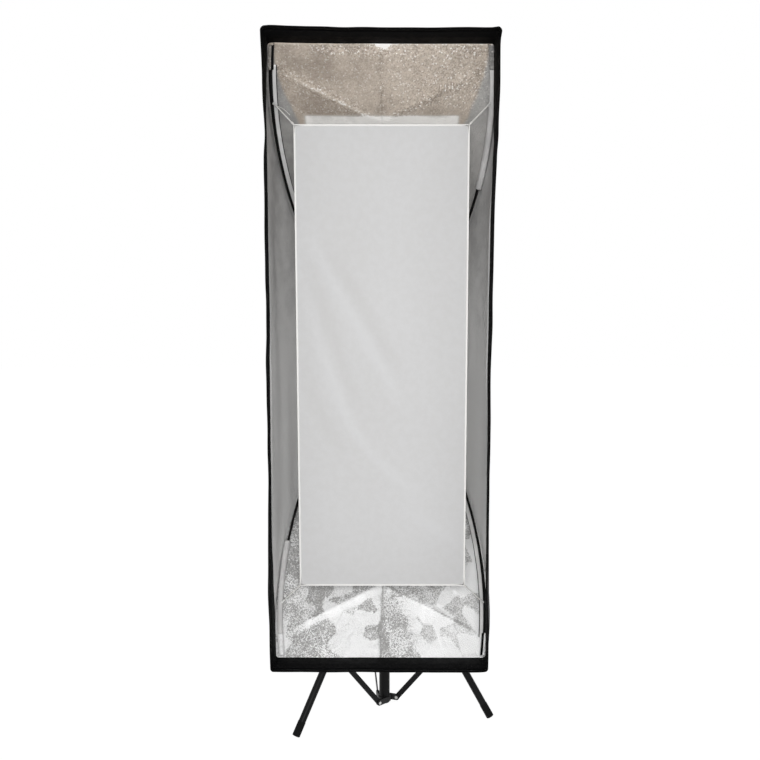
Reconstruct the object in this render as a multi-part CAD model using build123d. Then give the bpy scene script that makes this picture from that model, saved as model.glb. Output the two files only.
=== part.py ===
from build123d import *
import math
import os

# Strip softbox with a flash bracket, standing on a folding light stand.
# Millimetres. +Z is up, +X is to the right, and the open front of the softbox faces -Y.
# The origin is the point of the floor under the axis of the stand's column.

os.makedirs("parts", exist_ok=True)

# ---------------------------------------------------------------- clearances
RUNNING = 0.05  # radial gap of a shaft that turns or slides in a hole
SEATED = 0.03  # radial gap of pieces that are pinned, glued or pressed together
PASSING = 0.3  # gap between faces that move past each other
OPEN_GAP = 1.5  # gap beside a piece that must never be touched
JOIN = 1.0  # how far shapes that are joined or cut run past each other

# ---------------------------------------------------------------- softbox
RIM_WIDTH = 400.0  # outside of the front lip
RIM_HEIGHT = 1121.0
LIP_DEPTH = 71.0
LIP_CORNER = 6.0
FABRIC = 1.5
AXIS_Z = 865.0  # height of the optical axis above the floor
RIM_Y = -508.0  # front edge of the lip

ROD_DIAMETER = 5.0
ROD_ROOT = (61.0, 61.0, 399.0)  # beside the axis, above the axis, behind the rim
ROD_TIP_INSET = (7.5, 12.0)  # from the rim's outside to the rod's tip, sideways and upwards
ROD_BOW = (55.0, 3.0, 29.0)  # how far the middle of a rod bends away from its chord
ROD_TIP_DEPTH = 70.0
SHELL_CLEARANCE = 6.0  # from a rod's axis to the inside of the fabric
SHELL_REAR_ARC = 34.0  # length of rod behind the rear edge of the shell
ROD_CAP_DIAMETER = 7.0
ROD_CAP_LENGTH = 6.0
POCKET_DIAMETER = 10.4
POCKET_LENGTH = 24.0
POCKET_ROOM = 0.6  # radial gap round a rod's cap

BAFFLE_WIDTH = 319.0
BAFFLE_HEIGHT = 861.0
BAFFLE_DEPTH = 101.0
BAFFLE_THICKNESS = 1.0
BINDING_WIDTH = 5.0
CORD_DIAMETER = 3.0
CORD_ANCHOR = 0.845  # share of the rod's length, from its root, where a cord is hooked
HOOK_DIAMETER = 6.0
HOOK_LENGTH = 10.0
HOOK_EDGE = 0.8
HOOK_GAP = 0.8  # from the rod's surface to the nearest edge of the hook
FASTENER_DEPTH = 14.0
FASTENER_WIDTH = 25.0
FASTENER_THICKNESS = 1.2

# ---------------------------------------------------------------- speedring
RING_PLATE_RADIUS = 76.0
RING_PLATE_BORE_RADIUS = 60.0
RING_PLATE_THICKNESS = 8.0
RING_PLATE_EDGE = 1.5
RING_PLATE_DEPTH = 404.0  # its front face, behind the rim
SOCKET_DIAMETER = 13.0
SOCKET_LENGTH = 24.0
SOCKET_WALL = 4.0
SOCKET_FOOT_DIAMETER = 16.0
SOCKET_WEB_START = 6.0  # from the plate's bore to the root of a socket's web
SOCKET_PLAY = 0.35  # radial gap round a rod, which bends a little inside its socket
SET_SCREW_DIAMETER = 4.0
SET_SCREW_LENGTH = 8.0
COLLAR_RADIUS = 68.5
COLLAR_WALL = 6.0
LUG_RADIUS = 72.5
LUG_THICKNESS = 3.0
LUG_ARC = 40.0
LUG_COUNT = 3
CUFF_OVERLAP = 0.5  # how much thicker the cuff's sides are than one layer of fabric
CUFF_CORNER = 4.0

# ---------------------------------------------------------------- bracket
HEAD_RING_RADIUS = 78.0
HEAD_RING_DEPTH = 38.0
HEAD_BORE_RADIUS = 60.0
HEAD_SEAT_RADIUS = 73.6
HEAD_SEAT_DEPTH = 8.0
HEAD_TAB_THICKNESS = 4.0
HEAD_ROUNDING = 2.0
SEAT_PLAY_ARC = 6.0  # how much wider a slot of the seat is than its lug, in degrees
ARM_HALF_WIDTH = 13.3
ARM_LOW = 784.0
ARM_HEIGHT = 16.0
ARM_REAR = 16.0
TILT_Z = 765.0
TILT_BOLT_DIAMETER = 8.0
TONGUE_HALF_WIDTH = 7.0
TONGUE_RADIUS = 17.0
EAR_RADIUS = 16.0
SHELF_HALF_WIDTH = 58.0
SHELF_REAR = -10.0
SHELF_THICKNESS = 14.0
LOWER_SHELF_Z = ARM_LOW + ARM_HEIGHT
UPPER_SHELF_Z = 934.0
GUIDE_DIAMETER = 8.0
GUIDE_X = 48.0
GUIDE_Y = -30.0
JAW_BAR_Z = 900.0
JAW_BAR_HEIGHT = 12.0
JAW_BAR_HALF_WIDTH = 56.0
JAW_BAR_HALF_DEPTH = 10.0
JAW_BAR_CORNER = 6.0
JAW_SCREW_SEAT = 7.0  # how deep the screw's foot turns in the jaw bar
JAW_KNOB_GAP = 4.0  # left above the upper shelf when the jaw is at its lowest
JAW_PLATE_HALF_WIDTH = 34.0
JAW_PLATE_HALF_DEPTH = 22.0
JAW_PLATE_THICKNESS = 6.0
PAD_THICKNESS = 5.0
PAD_MARGIN = 2.0
PAD_RIB_WIDTH = 3.0
PAD_RIB_DEPTH = 1.5
JAW_SCREW_DIAMETER = 8.0
JAW_TRAVEL = 40.0
JAW_KNOB_DIAMETER = 36.0
UMBRELLA_BORE = 8.4
UMBRELLA_X = 28.0
UMBRELLA_Z = 780.0
UMBRELLA_WALL = 3.8
UMBRELLA_LINK = (3.0, 9.0)  # from the arm's underside
CATCH_DIAMETER = 5.0
CATCH_ANGLE = 45.0
CATCH_REACH = 3.0  # how far the catch's tip stays outside the lugs' collar, beyond the open gap
CATCH_BUTTON_DIAMETER = 14.0
CATCH_BUTTON_LENGTH = 9.0
LEVER_LENGTH = 62.0
LEVER_ANGLE = 55.0
LEVER_HUB_DIAMETER = 18.0
LEVER_HUB_LENGTH = 15.0
LEVER_ARM_OFFSET = 10.0  # from the fork's side to the middle of the lever's arm
LEVER_ARM = (7.0, 9.0)
LEVER_GRIP_DIAMETER = 14.0
LEVER_GRIP_LENGTH = 24.0
TILT_BOLT_REACH = 9.0  # how far the bolt stands out of the fork, inside the lever
TILT_HEAD_RADIUS = 7.5
TILT_HEAD_LENGTH = 5.0

# ---------------------------------------------------------------- stand column
BASE_TUBE = 26.0
TUBE_WALL = 1.2
MID_TUBE = BASE_TUBE - 2 * (TUBE_WALL + PASSING)
TOP_TUBE = MID_TUBE - 2 * (TUBE_WALL + PASSING)
BASE_TUBE_LOW = 4.0
BASE_TUBE_HIGH = 600.0
MID_TUBE_LOW = 108.0
MID_TUBE_HIGH = 660.0
TOP_TUBE_LOW = 140.0
TOP_TUBE_HIGH = 690.0
LOCK_HEIGHT = 44.0
LOCK_OVERHANG = 22.0  # how far a lock collar stands above the tube that carries it
LOCK_WALL = 6.0
SPIGOT_DIAMETER = 15.9
SPIGOT_HEIGHT = 38.0
SPIGOT_FLANGE = 4.0
SPIGOT_PLUG = 20.0
SPIGOT_GROOVE_DEPTH = 1.8
SPIGOT_GROOVE_WIDTH = 10.0
SOCKET_BODY_DIAMETER = 32.0
SOCKET_BODY_TOP = 742.0
KNOB_DIAMETER = 28.0
KNOB_THICKNESS = 13.0
KNOB_SCREW = 6.0
KNOB_NECK = 3.0
KNOB_LOBES = 6
KNOB_NOTCH_AT = 0.57  # from the knob's middle to a notch's middle, as a share of its diameter
KNOB_NOTCH_SIZE = 0.14  # a notch's radius, as a share of the knob's diameter
KNOB_ROUNDING = 0.05  # as a share of the knob's diameter
COLLAR_EDGE = 1.5  # chamfer round the ends of the collars
PLUG_DEPTH = 12.0
PLUG_FLANGE = 3.0
BOSS_DIAMETER = 16.0
BOSS_REACH = 26.0
LOCK_AZIMUTH = 41.5  # all column knobs stand in one line behind the column

# ---------------------------------------------------------------- stand legs
LEG_AZIMUTHS = {"left": 221.5, "right": 341.5, "rear": 101.5}
LEG_TUBE = 16.8
LEG_ANGLE = 31.15  # from the vertical
FOOT_CIRCLE = 267.5  # radius at the middle of the foot's end
FOOT_DIAMETER = 18.0
FOOT_LENGTH = 34.0
FOOT_EDGE = 1.5
FOOT_RIM = 0.3  # rounding of the cap's thin upper rim
FOOT_END = 4.0
LEG_PIVOT_RADIUS = 24.0
LEG_PIN = 5.0
LEG_EYE_HALF = 4.0
LEG_EYE_RADIUS = 6.0
LEG_EAR_THICKNESS = 4.0
LEG_EAR_RADIUS = 6.5
LEG_HEAD_FLANGE = 12.0
LEG_HEAD_PLUG = 20.0
LEG_HEAD_NECK = 10.0
LEG_COLLAR_DIAMETER = 35.0
LEG_COLLAR_BELOW = 7.0
LEG_COLLAR_ABOVE = 29.0
BRACE_JOINT = 268.4  # along the leg, from its pivot
BRACE_PIVOT_RADIUS = 28.0
BRACE_PIVOT_Z = 11.0
BRACE_PIN = 4.0
BRACE_WIDTH = 13.0
BRACE_THICKNESS = 2.0
BRACE_SIDE = 11.0  # from the leg's middle plane to the bar's inner face
BRACE_EAR_THICKNESS = 1.9
BRACE_EAR_RADIUS = 7.0
BRACE_COLLAR_DIAMETER = 32.0
CLIP_LENGTH = 26.0
CLIP_WALL = 2.0
CLIP_PAD_WIDTH = 14.0
RIVET_HEAD = 7.5
RIVET_HEAD_THICKNESS = 1.2

# ---------------------------------------------------------------- derived places
LEG_SIN = math.sin(math.radians(LEG_ANGLE))
LEG_COS = math.cos(math.radians(LEG_ANGLE))
FOOT_END_Z = (FOOT_DIAMETER / 2 - FOOT_EDGE) * LEG_SIN + FOOT_EDGE * (1 - LEG_COS)
LEG_PIVOT_Z = FOOT_END_Z + (FOOT_CIRCLE - LEG_PIVOT_RADIUS) * LEG_COS / LEG_SIN
LEG_LENGTH = (FOOT_CIRCLE - LEG_PIVOT_RADIUS) / LEG_SIN
BRACE_JOINT_RADIUS = LEG_PIVOT_RADIUS + BRACE_JOINT * LEG_SIN
BRACE_JOINT_Z = LEG_PIVOT_Z - BRACE_JOINT * LEG_COS
BRACE_RUN = BRACE_JOINT_RADIUS - BRACE_PIVOT_RADIUS
BRACE_RISE = BRACE_JOINT_Z - BRACE_PIVOT_Z
BRACE_LENGTH = math.hypot(BRACE_RUN, BRACE_RISE)
ROD_TIP = (RIM_WIDTH / 2 - ROD_TIP_INSET[0], RIM_HEIGHT / 2 - ROD_TIP_INSET[1], ROD_TIP_DEPTH)
RING_PLATE_REAR_Y = RIM_Y + RING_PLATE_DEPTH + RING_PLATE_THICKNESS
CUFF_REAR_Y = RING_PLATE_REAR_Y + PASSING + FABRIC
HEAD_FRONT_Y = CUFF_REAR_Y + PASSING
HEAD_REAR_Y = HEAD_FRONT_Y + HEAD_RING_DEPTH
JAW_PLATE_Y = GUIDE_Y + JAW_PLATE_HALF_DEPTH - GUIDE_DIAMETER
BOTTOM = (Align.CENTER, Align.CENTER, Align.MIN)


# ---------------------------------------------------------------- building blocks
def save(node, part):
    """Write one piece, or one group of like pieces, to its own STEP file."""
    part.label = node
    export_step(part, f"parts/{node}.step")


def upright(diameter, low, high, x=0.0, y=0.0):
    """Cylinder along Z."""
    return Pos(x, y, low) * Cylinder(diameter / 2, high - low, align=BOTTOM)


def pipe(outer, inner, low, high):
    """Upright tube about the column's axis."""
    return upright(outer, low, high) - upright(inner, low - JOIN, high + JOIN)


def level(radius, front, rear, x=0.0, z=AXIS_Z):
    """Cylinder along Y."""
    return Pos(x, front, z) * Rot(-90, 0, 0) * Cylinder(radius, rear - front, align=BOTTOM)


def sideways(diameter, left, right, y, z):
    """Cylinder along X."""
    return Pos(left, y, z) * Rot(0, 90, 0) * Cylinder(diameter / 2, right - left, align=BOTTOM)


def block(x_range, y_range, z_range):
    """Box between two limits on each axis."""
    spans = (x_range, y_range, z_range)
    middle = [(low + high) / 2 for low, high in spans]
    return Pos(*middle) * Box(*[high - low for low, high in spans])


def radial(azimuth, z):
    """Frame on the column's axis whose local Z points outwards at the azimuth."""
    return Pos(0, 0, z) * Rot(0, 0, azimuth) * Rot(0, 90, 0)


def in_box(x, height, depth):
    """World point from a point beside and above the optical axis, behind the rim."""
    return Vector(x, RIM_Y + depth, AXIS_Z + height)


def knob_head(diameter, thickness):
    """Six-lobed hand knob with rounded rims, its base at z = 0."""
    outline = Circle(diameter / 2)
    for i in range(KNOB_LOBES):
        notch = Pos(diameter * KNOB_NOTCH_AT, 0) * Circle(diameter * KNOB_NOTCH_SIZE)
        outline -= Rot(0, 0, 360 / KNOB_LOBES * i) * notch
    outline = fillet(outline.vertices(), diameter * KNOB_ROUNDING)
    head = extrude(outline, thickness)
    return fillet(head.faces().sort_by(Axis.Z)[-1].edges(), diameter * KNOB_ROUNDING)


def clamp_knob(azimuth, z, tip):
    """Hand knob whose screw runs in through a boss to its tip, near the tube."""
    head_base = BOSS_REACH + PASSING
    screw = Pos(0, 0, tip) * Cylinder(KNOB_SCREW / 2, head_base - tip + JOIN, align=BOTTOM)
    neck = Pos(0, 0, head_base) * Cylinder(BOSS_DIAMETER / 2 - JOIN, KNOB_NECK + JOIN, align=BOTTOM)
    head = Pos(0, 0, head_base + KNOB_NECK) * knob_head(KNOB_DIAMETER, KNOB_THICKNESS)
    return radial(azimuth, z) * (screw + neck + head)


def with_boss(body, azimuth, z, bore):
    """Add a knob's boss to a collar and drill it through to the bore."""
    boss = radial(azimuth, z) * Cylinder(BOSS_DIAMETER / 2, BOSS_REACH, align=BOTTOM)
    body = body + (boss - upright(bore + 2 * JOIN, z - BOSS_DIAMETER, z + BOSS_DIAMETER))
    drill = radial(azimuth, z) * Cylinder(KNOB_SCREW / 2 + RUNNING, BOSS_REACH + JOIN, align=BOTTOM)
    return body - drill


def rims_broken(part, size):
    """Chamfer the outer rims of the top and bottom faces."""
    ends = part.faces().sort_by(Axis.Z)
    return chamfer([ends[0].outer_wire().edges(), ends[-1].outer_wire().edges()], size)


def grouped(pieces):
    """Several separate solids kept together in one node."""
    return Compound(children=[piece.solid() for piece in pieces])


# ---------------------------------------------------------------- stand column
def base_column_tube():
    return pipe(BASE_TUBE, BASE_TUBE - 2 * TUBE_WALL, BASE_TUBE_LOW, BASE_TUBE_HIGH)


def column_end_plug():
    """Plastic plug that closes the column's lower end."""
    disc = upright(BASE_TUBE, BASE_TUBE_LOW - PLUG_FLANGE, BASE_TUBE_LOW)
    disc = chamfer(disc.faces().sort_by(Axis.Z)[0].edges(), PLUG_FLANGE / 3)
    bore = BASE_TUBE - 2 * TUBE_WALL - 2 * SEATED
    return disc + upright(bore, BASE_TUBE_LOW - JOIN, BASE_TUBE_LOW + PLUG_DEPTH)


def lock_collar(lower_tube, upper_tube, lower_tube_top):
    """Collar fixed on one tube that clamps the thinner tube sliding in it."""
    low = lower_tube_top + LOCK_OVERHANG - LOCK_HEIGHT
    high = lower_tube_top + LOCK_OVERHANG
    body = upright(lower_tube + 2 * LOCK_WALL, low, high)
    body = rims_broken(body, COLLAR_EDGE)
    body -= upright(lower_tube + 2 * SEATED, low - JOIN, lower_tube_top)
    body -= upright(upper_tube + 2 * RUNNING, low, high + JOIN)
    return with_boss(body, LOCK_AZIMUTH, lower_tube_top + LOCK_OVERHANG / 2, upper_tube)


def lock_knob(upper_tube, lower_tube_top):
    tip = upper_tube / 2 + PASSING
    return clamp_knob(LOCK_AZIMUTH, lower_tube_top + LOCK_OVERHANG / 2, tip)


def spigot():
    """Metal stud on the top tube, with the groove that the bracket's screw grips."""
    top = TOP_TUBE_HIGH + SPIGOT_FLANGE
    stud = upright(SPIGOT_DIAMETER, top - JOIN, top + SPIGOT_HEIGHT)
    stud = chamfer(stud.faces().sort_by(Axis.Z)[-1].edges(), SPIGOT_GROOVE_DEPTH / 2)
    groove_z = top + (SPIGOT_HEIGHT - SPIGOT_GROOVE_WIDTH) / 2
    core = SPIGOT_DIAMETER - 2 * SPIGOT_GROOVE_DEPTH
    stud -= pipe(SPIGOT_DIAMETER + JOIN, core, groove_z, groove_z + SPIGOT_GROOVE_WIDTH)
    flange = upright(BASE_TUBE, TOP_TUBE_HIGH, top)
    bore = TOP_TUBE - 2 * TUBE_WALL - 2 * SEATED
    plug = upright(bore, TOP_TUBE_HIGH - SPIGOT_PLUG, TOP_TUBE_HIGH + JOIN)
    return stud + flange + plug


# ---------------------------------------------------------------- stand legs
# Each leg is drawn in the XZ plane, leaning out along +X, and then turned to its azimuth.
LEG_FRAME = Plane(
    origin=(LEG_PIVOT_RADIUS, 0, LEG_PIVOT_Z), x_dir=(0, 1, 0), z_dir=(LEG_SIN, 0, -LEG_COS)
).location


def along_leg(radius, start, end):
    """Cylinder on the leg's axis between two distances from its pivot."""
    return LEG_FRAME * Pos(0, 0, start) * Cylinder(radius, end - start, align=BOTTOM)


def leg_tube():
    start = LEG_HEAD_FLANGE + 2 * JOIN
    end = LEG_LENGTH - FOOT_END
    inside = along_leg(LEG_TUBE / 2 - TUBE_WALL, start - JOIN, end + JOIN)
    return along_leg(LEG_TUBE / 2, start, end) - inside


def leg_foot():
    """Rubber cap whose square end stands on the floor by its inner rim."""
    cap = along_leg(FOOT_DIAMETER / 2, LEG_LENGTH - FOOT_LENGTH, LEG_LENGTH)
    rims = cap.edges().filter_by(GeomType.CIRCLE).sort_by(Axis.Z)
    cap = fillet(rims[0], FOOT_EDGE)
    cap = fillet(cap.edges().filter_by(GeomType.CIRCLE).sort_by(Axis.Z)[-1], FOOT_RIM)
    start = LEG_LENGTH - FOOT_LENGTH - JOIN
    return cap - along_leg(LEG_TUBE / 2 + SEATED, start, LEG_LENGTH - FOOT_END)


def leg_head():
    """Eye on the leg's pin, with a plug that fills the top of the tube."""
    eye = level(LEG_EYE_RADIUS, -LEG_EYE_HALF, LEG_EYE_HALF, LEG_PIVOT_RADIUS, LEG_PIVOT_Z)
    neck = Box(2 * LEG_EYE_HALF, LEG_HEAD_NECK, LEG_HEAD_FLANGE)
    neck = LEG_FRAME * Pos(0, 0, LEG_HEAD_FLANGE / 2) * neck
    flange = along_leg(LEG_TUBE / 2, LEG_HEAD_FLANGE - JOIN, LEG_HEAD_FLANGE + 2 * JOIN)
    bore = LEG_TUBE / 2 - TUBE_WALL - SEATED
    plug = along_leg(bore, LEG_HEAD_FLANGE, LEG_HEAD_FLANGE + LEG_HEAD_PLUG)
    reach = LEG_EYE_HALF + JOIN
    hole = level(LEG_PIN / 2 + RUNNING, -reach, reach, LEG_PIVOT_RADIUS, LEG_PIVOT_Z)
    return eye + neck + flange + plug - hole


def brace_clip():
    """Band round the leg with a flat pad beside the brace."""
    start = BRACE_JOINT - CLIP_LENGTH / 2
    end = BRACE_JOINT + CLIP_LENGTH / 2
    band = along_leg(LEG_TUBE / 2 + CLIP_WALL, start, end)
    pad_reach = BRACE_SIDE - PASSING
    pad = LEG_FRAME * Pos(pad_reach / 2, 0, BRACE_JOINT) * Box(pad_reach, CLIP_PAD_WIDTH, CLIP_LENGTH)
    return band + pad - along_leg(LEG_TUBE / 2 + SEATED, start - JOIN, end + JOIN)


def brace():
    """Flat bar from the brace collar to the leg, with its upper rivet."""
    frame = Plane(
        origin=(BRACE_PIVOT_RADIUS, BRACE_SIDE, BRACE_PIVOT_Z),
        x_dir=(BRACE_RUN, 0, BRACE_RISE),
        z_dir=(0, 1, 0),
    ).location
    outline = Pos(BRACE_LENGTH / 2, 0) * SlotCenterToCenter(BRACE_LENGTH, BRACE_WIDTH)
    outline -= Circle(BRACE_PIN / 2 + RUNNING)
    rivet = Pos(BRACE_LENGTH, 0, BRACE_THICKNESS / 2) * Cylinder(
        RIVET_HEAD / 2, BRACE_THICKNESS / 2 + RIVET_HEAD_THICKNESS, align=BOTTOM
    )
    return frame * (extrude(outline, BRACE_THICKNESS) + rivet)


def clevis_ear(side, thickness, radius, reach, z):
    """Flat ear out to a pin: a bar with a round end, standing in the leg's plane."""
    ear = level(radius, side, side + thickness, reach, z)
    return ear + block((0, reach), (side, side + thickness), (z - radius, z + radius))


def brace_collar():
    """Fixed collar at the foot of the column with three forks for the braces."""
    low = BRACE_PIVOT_Z - BRACE_EAR_RADIUS
    high = BRACE_PIVOT_Z + BRACE_EAR_RADIUS
    body = rims_broken(upright(BRACE_COLLAR_DIAMETER, low, high - JOIN), COLLAR_EDGE)
    inner_side = BRACE_SIDE - PASSING - BRACE_EAR_THICKNESS
    outer_side = BRACE_SIDE + BRACE_THICKNESS + PASSING
    hole_end = outer_side + BRACE_EAR_THICKNESS + JOIN
    for azimuth in LEG_AZIMUTHS.values():
        turn = Rot(0, 0, azimuth)
        for side in (inner_side, outer_side):
            ear = clevis_ear(side, BRACE_EAR_THICKNESS, BRACE_EAR_RADIUS, BRACE_PIVOT_RADIUS, BRACE_PIVOT_Z)
            body += turn * ear
        radius = BRACE_PIN / 2 + SEATED
        body -= turn * level(radius, inner_side - JOIN, hole_end, BRACE_PIVOT_RADIUS, BRACE_PIVOT_Z)
    return body - upright(BASE_TUBE + 2 * SEATED, low - JOIN, high + JOIN)


def pin_with_heads(diameter, head, side_low, side_high, x, z):
    """Rivet across a fork, with a flat head outside each ear."""
    shank = level(diameter / 2, side_low, side_high, x, z)
    first = level(head / 2, side_low - RIVET_HEAD_THICKNESS, side_low, x, z)
    last = level(head / 2, side_high, side_high + RIVET_HEAD_THICKNESS, x, z)
    return shank + first + last


def brace_pivot_pins():
    low = BRACE_SIDE - PASSING - BRACE_EAR_THICKNESS
    high = BRACE_SIDE + BRACE_THICKNESS + PASSING + BRACE_EAR_THICKNESS
    pin = pin_with_heads(BRACE_PIN, RIVET_HEAD, low, high, BRACE_PIVOT_RADIUS, BRACE_PIVOT_Z)
    return grouped([Rot(0, 0, azimuth) * pin for azimuth in LEG_AZIMUTHS.values()])


def leg_collar():
    """Collar that slides on the base tube and carries the three legs."""
    low = LEG_PIVOT_Z - LEG_COLLAR_BELOW
    high = LEG_PIVOT_Z + LEG_COLLAR_ABOVE
    body = rims_broken(upright(LEG_COLLAR_DIAMETER, low, high), COLLAR_EDGE)
    inner = LEG_EYE_HALF + PASSING
    for azimuth in LEG_AZIMUTHS.values():
        for side in (inner, -inner - LEG_EAR_THICKNESS):
            ear = clevis_ear(side, LEG_EAR_THICKNESS, LEG_EAR_RADIUS, LEG_PIVOT_RADIUS, LEG_PIVOT_Z)
            body += Rot(0, 0, azimuth) * ear
        reach = inner + LEG_EAR_THICKNESS + JOIN
        hole = level(LEG_PIN / 2 + SEATED, -reach, reach, LEG_PIVOT_RADIUS, LEG_PIVOT_Z)
        body -= Rot(0, 0, azimuth) * hole
    body -= upright(BASE_TUBE + 2 * RUNNING, low - JOIN, high + JOIN)
    return with_boss(body, LOCK_AZIMUTH, leg_collar_boss_z(), BASE_TUBE)


def leg_collar_boss_z():
    return LEG_PIVOT_Z + LEG_COLLAR_ABOVE - BOSS_DIAMETER / 2 - COLLAR_EDGE


def leg_collar_knob():
    return clamp_knob(LOCK_AZIMUTH, leg_collar_boss_z(), BASE_TUBE / 2 + PASSING)


def leg_pivot_pins():
    side = LEG_EYE_HALF + PASSING + LEG_EAR_THICKNESS
    pin = pin_with_heads(LEG_PIN, RIVET_HEAD, -side, side, LEG_PIVOT_RADIUS, LEG_PIVOT_Z)
    return grouped([Rot(0, 0, azimuth) * pin for azimuth in LEG_AZIMUTHS.values()])


# ---------------------------------------------------------------- bracket
def stand_socket():
    """Socket that drops over the spigot, with the tongue of the tilt joint on top."""
    low = TOP_TUBE_HIGH + SPIGOT_FLANGE + PASSING
    body = rims_broken(upright(SOCKET_BODY_DIAMETER, low, SOCKET_BODY_TOP), COLLAR_EDGE)
    half = TONGUE_HALF_WIDTH
    waist = TONGUE_RADIUS - 2 * JOIN
    body += sideways(2 * TONGUE_RADIUS, -half, half, 0, TILT_Z)
    body += block((-half, half), (-waist, waist), (SOCKET_BODY_TOP - JOIN, TILT_Z))
    body -= sideways(TILT_BOLT_DIAMETER + 2 * RUNNING, -half - JOIN, half + JOIN, 0, TILT_Z)
    bore = SPIGOT_DIAMETER + 2 * RUNNING
    body -= upright(bore, low - JOIN, TOP_TUBE_HIGH + SPIGOT_FLANGE + SPIGOT_HEIGHT + JOIN)
    return with_boss(body, 90, spigot_groove_z(), bore)


def spigot_groove_z():
    return TOP_TUBE_HIGH + SPIGOT_FLANGE + SPIGOT_HEIGHT / 2


def socket_knob():
    """Knob whose screw reaches into the spigot's groove."""
    tip = SPIGOT_DIAMETER / 2 - SPIGOT_GROOVE_DEPTH + PASSING
    return clamp_knob(90, spigot_groove_z(), tip)


def tilt_bolt():
    """Bolt through the fork and the tongue, its hexagon head on the right."""
    head_x = ARM_HALF_WIDTH + PASSING
    shank = sideways(TILT_BOLT_DIAMETER, -ARM_HALF_WIDTH - TILT_BOLT_REACH, head_x + JOIN, 0, TILT_Z)
    head = extrude(RegularPolygon(TILT_HEAD_RADIUS, 6), TILT_HEAD_LENGTH)
    return shank + Pos(head_x, 0, TILT_Z) * Rot(0, 90, 0) * head


def tilt_lever():
    """Clamping lever on the left end of the tilt bolt."""
    outer = -ARM_HALF_WIDTH - PASSING
    hub = sideways(LEVER_HUB_DIAMETER, outer - LEVER_HUB_LENGTH, outer, 0, TILT_Z)
    hub = chamfer(hub.edges().filter_by(GeomType.CIRCLE), COLLAR_EDGE)
    place = Pos(outer - LEVER_ARM_OFFSET, 0, TILT_Z) * Rot(-LEVER_ANGLE, 0, 0)
    arm = place * Pos(0, 0, -LEVER_LENGTH / 2) * Box(*LEVER_ARM, LEVER_LENGTH)
    grip = place * Pos(0, 0, -LEVER_LENGTH) * Cylinder(LEVER_GRIP_DIAMETER / 2, LEVER_GRIP_LENGTH)
    grip = fillet(grip.edges().filter_by(GeomType.CIRCLE), LEVER_GRIP_DIAMETER / 5)
    bolt_end = -ARM_HALF_WIDTH - TILT_BOLT_REACH - JOIN / 2
    return hub + arm + grip - sideways(TILT_BOLT_DIAMETER + 2 * SEATED, bolt_end, 0, 0, TILT_Z)


def bracket_ring():
    """Ring with the bayonet seat, drilled for its catch."""
    body = level(HEAD_RING_RADIUS, HEAD_FRONT_Y, HEAD_REAR_Y)
    body = chamfer(body.edges().filter_by(GeomType.CIRCLE), HEAD_ROUNDING)
    body -= level(HEAD_BORE_RADIUS, HEAD_FRONT_Y - JOIN, HEAD_REAR_Y + JOIN)
    body -= bayonet_seat()
    catch_hole = Cylinder(CATCH_DIAMETER / 2 + RUNNING, HEAD_RING_RADIUS + JOIN, align=BOTTOM)
    return body - catch_frame() * catch_hole


def bracket_arm():
    """Arm under the ring's rear face, with the fork of the tilt joint and the umbrella lug."""
    half = ARM_HALF_WIDTH
    body = block((-half, half), (HEAD_REAR_Y, ARM_REAR), (ARM_LOW, ARM_LOW + ARM_HEIGHT))
    ear_width = half - TONGUE_HALF_WIDTH - PASSING
    waist = EAR_RADIUS - JOIN
    for low in (-half, TONGUE_HALF_WIDTH + PASSING):
        body += sideways(2 * EAR_RADIUS, low, low + ear_width, 0, TILT_Z)
        body += block((low, low + ear_width), (-waist, waist), (TILT_Z, ARM_LOW + JOIN))
    body -= sideways(TILT_BOLT_DIAMETER + 2 * RUNNING, -half - JOIN, half + JOIN, 0, TILT_Z)
    body += umbrella_lug()
    reach = ARM_REAR + JOIN
    return body - level(UMBRELLA_BORE / 2, -reach, reach, UMBRELLA_X, UMBRELLA_Z)


def shelf(low):
    """Flat shelf on the ring's rear face."""
    half = SHELF_HALF_WIDTH
    return block((-half, half), (HEAD_REAR_Y, SHELF_REAR), (low, low + SHELF_THICKNESS))


def guide_holes():
    """Blind holes in both shelves for the ends of the guide rods."""
    low = LOWER_SHELF_Z + SHELF_THICKNESS / 2
    high = UPPER_SHELF_Z + SHELF_THICKNESS / 2
    bore = GUIDE_DIAMETER + 2 * SEATED
    return upright(bore, low, high, -GUIDE_X, GUIDE_Y) + upright(bore, low, high, GUIDE_X, GUIDE_Y)


def lower_shelf():
    """Shelf that carries the fixed jaw."""
    return shelf(LOWER_SHELF_Z) + lower_jaw_plate() - guide_holes()


def upper_shelf():
    """Shelf that holds the top of the guide rods and the jaw's screw."""
    body = shelf(UPPER_SHELF_Z) - guide_holes()
    top = UPPER_SHELF_Z + SHELF_THICKNESS + JOIN
    return body - upright(JAW_SCREW_DIAMETER + 2 * RUNNING, UPPER_SHELF_Z - JOIN, top, 0, GUIDE_Y)


def bayonet_seat():
    """Recess for the speedring's collar, with a front wall slotted for its lugs."""
    mouth_end = HEAD_FRONT_Y + HEAD_TAB_THICKNESS
    front, rear = HEAD_FRONT_Y - JOIN, mouth_end + JOIN
    cut = level(COLLAR_RADIUS + RUNNING, front, rear)
    cut += level(HEAD_SEAT_RADIUS, mouth_end, mouth_end + HEAD_SEAT_DEPTH)
    slots = level(HEAD_SEAT_RADIUS, front, rear)
    return cut + (slots & lug_sectors(LUG_ARC + SEAT_PLAY_ARC, 180 / LUG_COUNT, front, rear))


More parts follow.
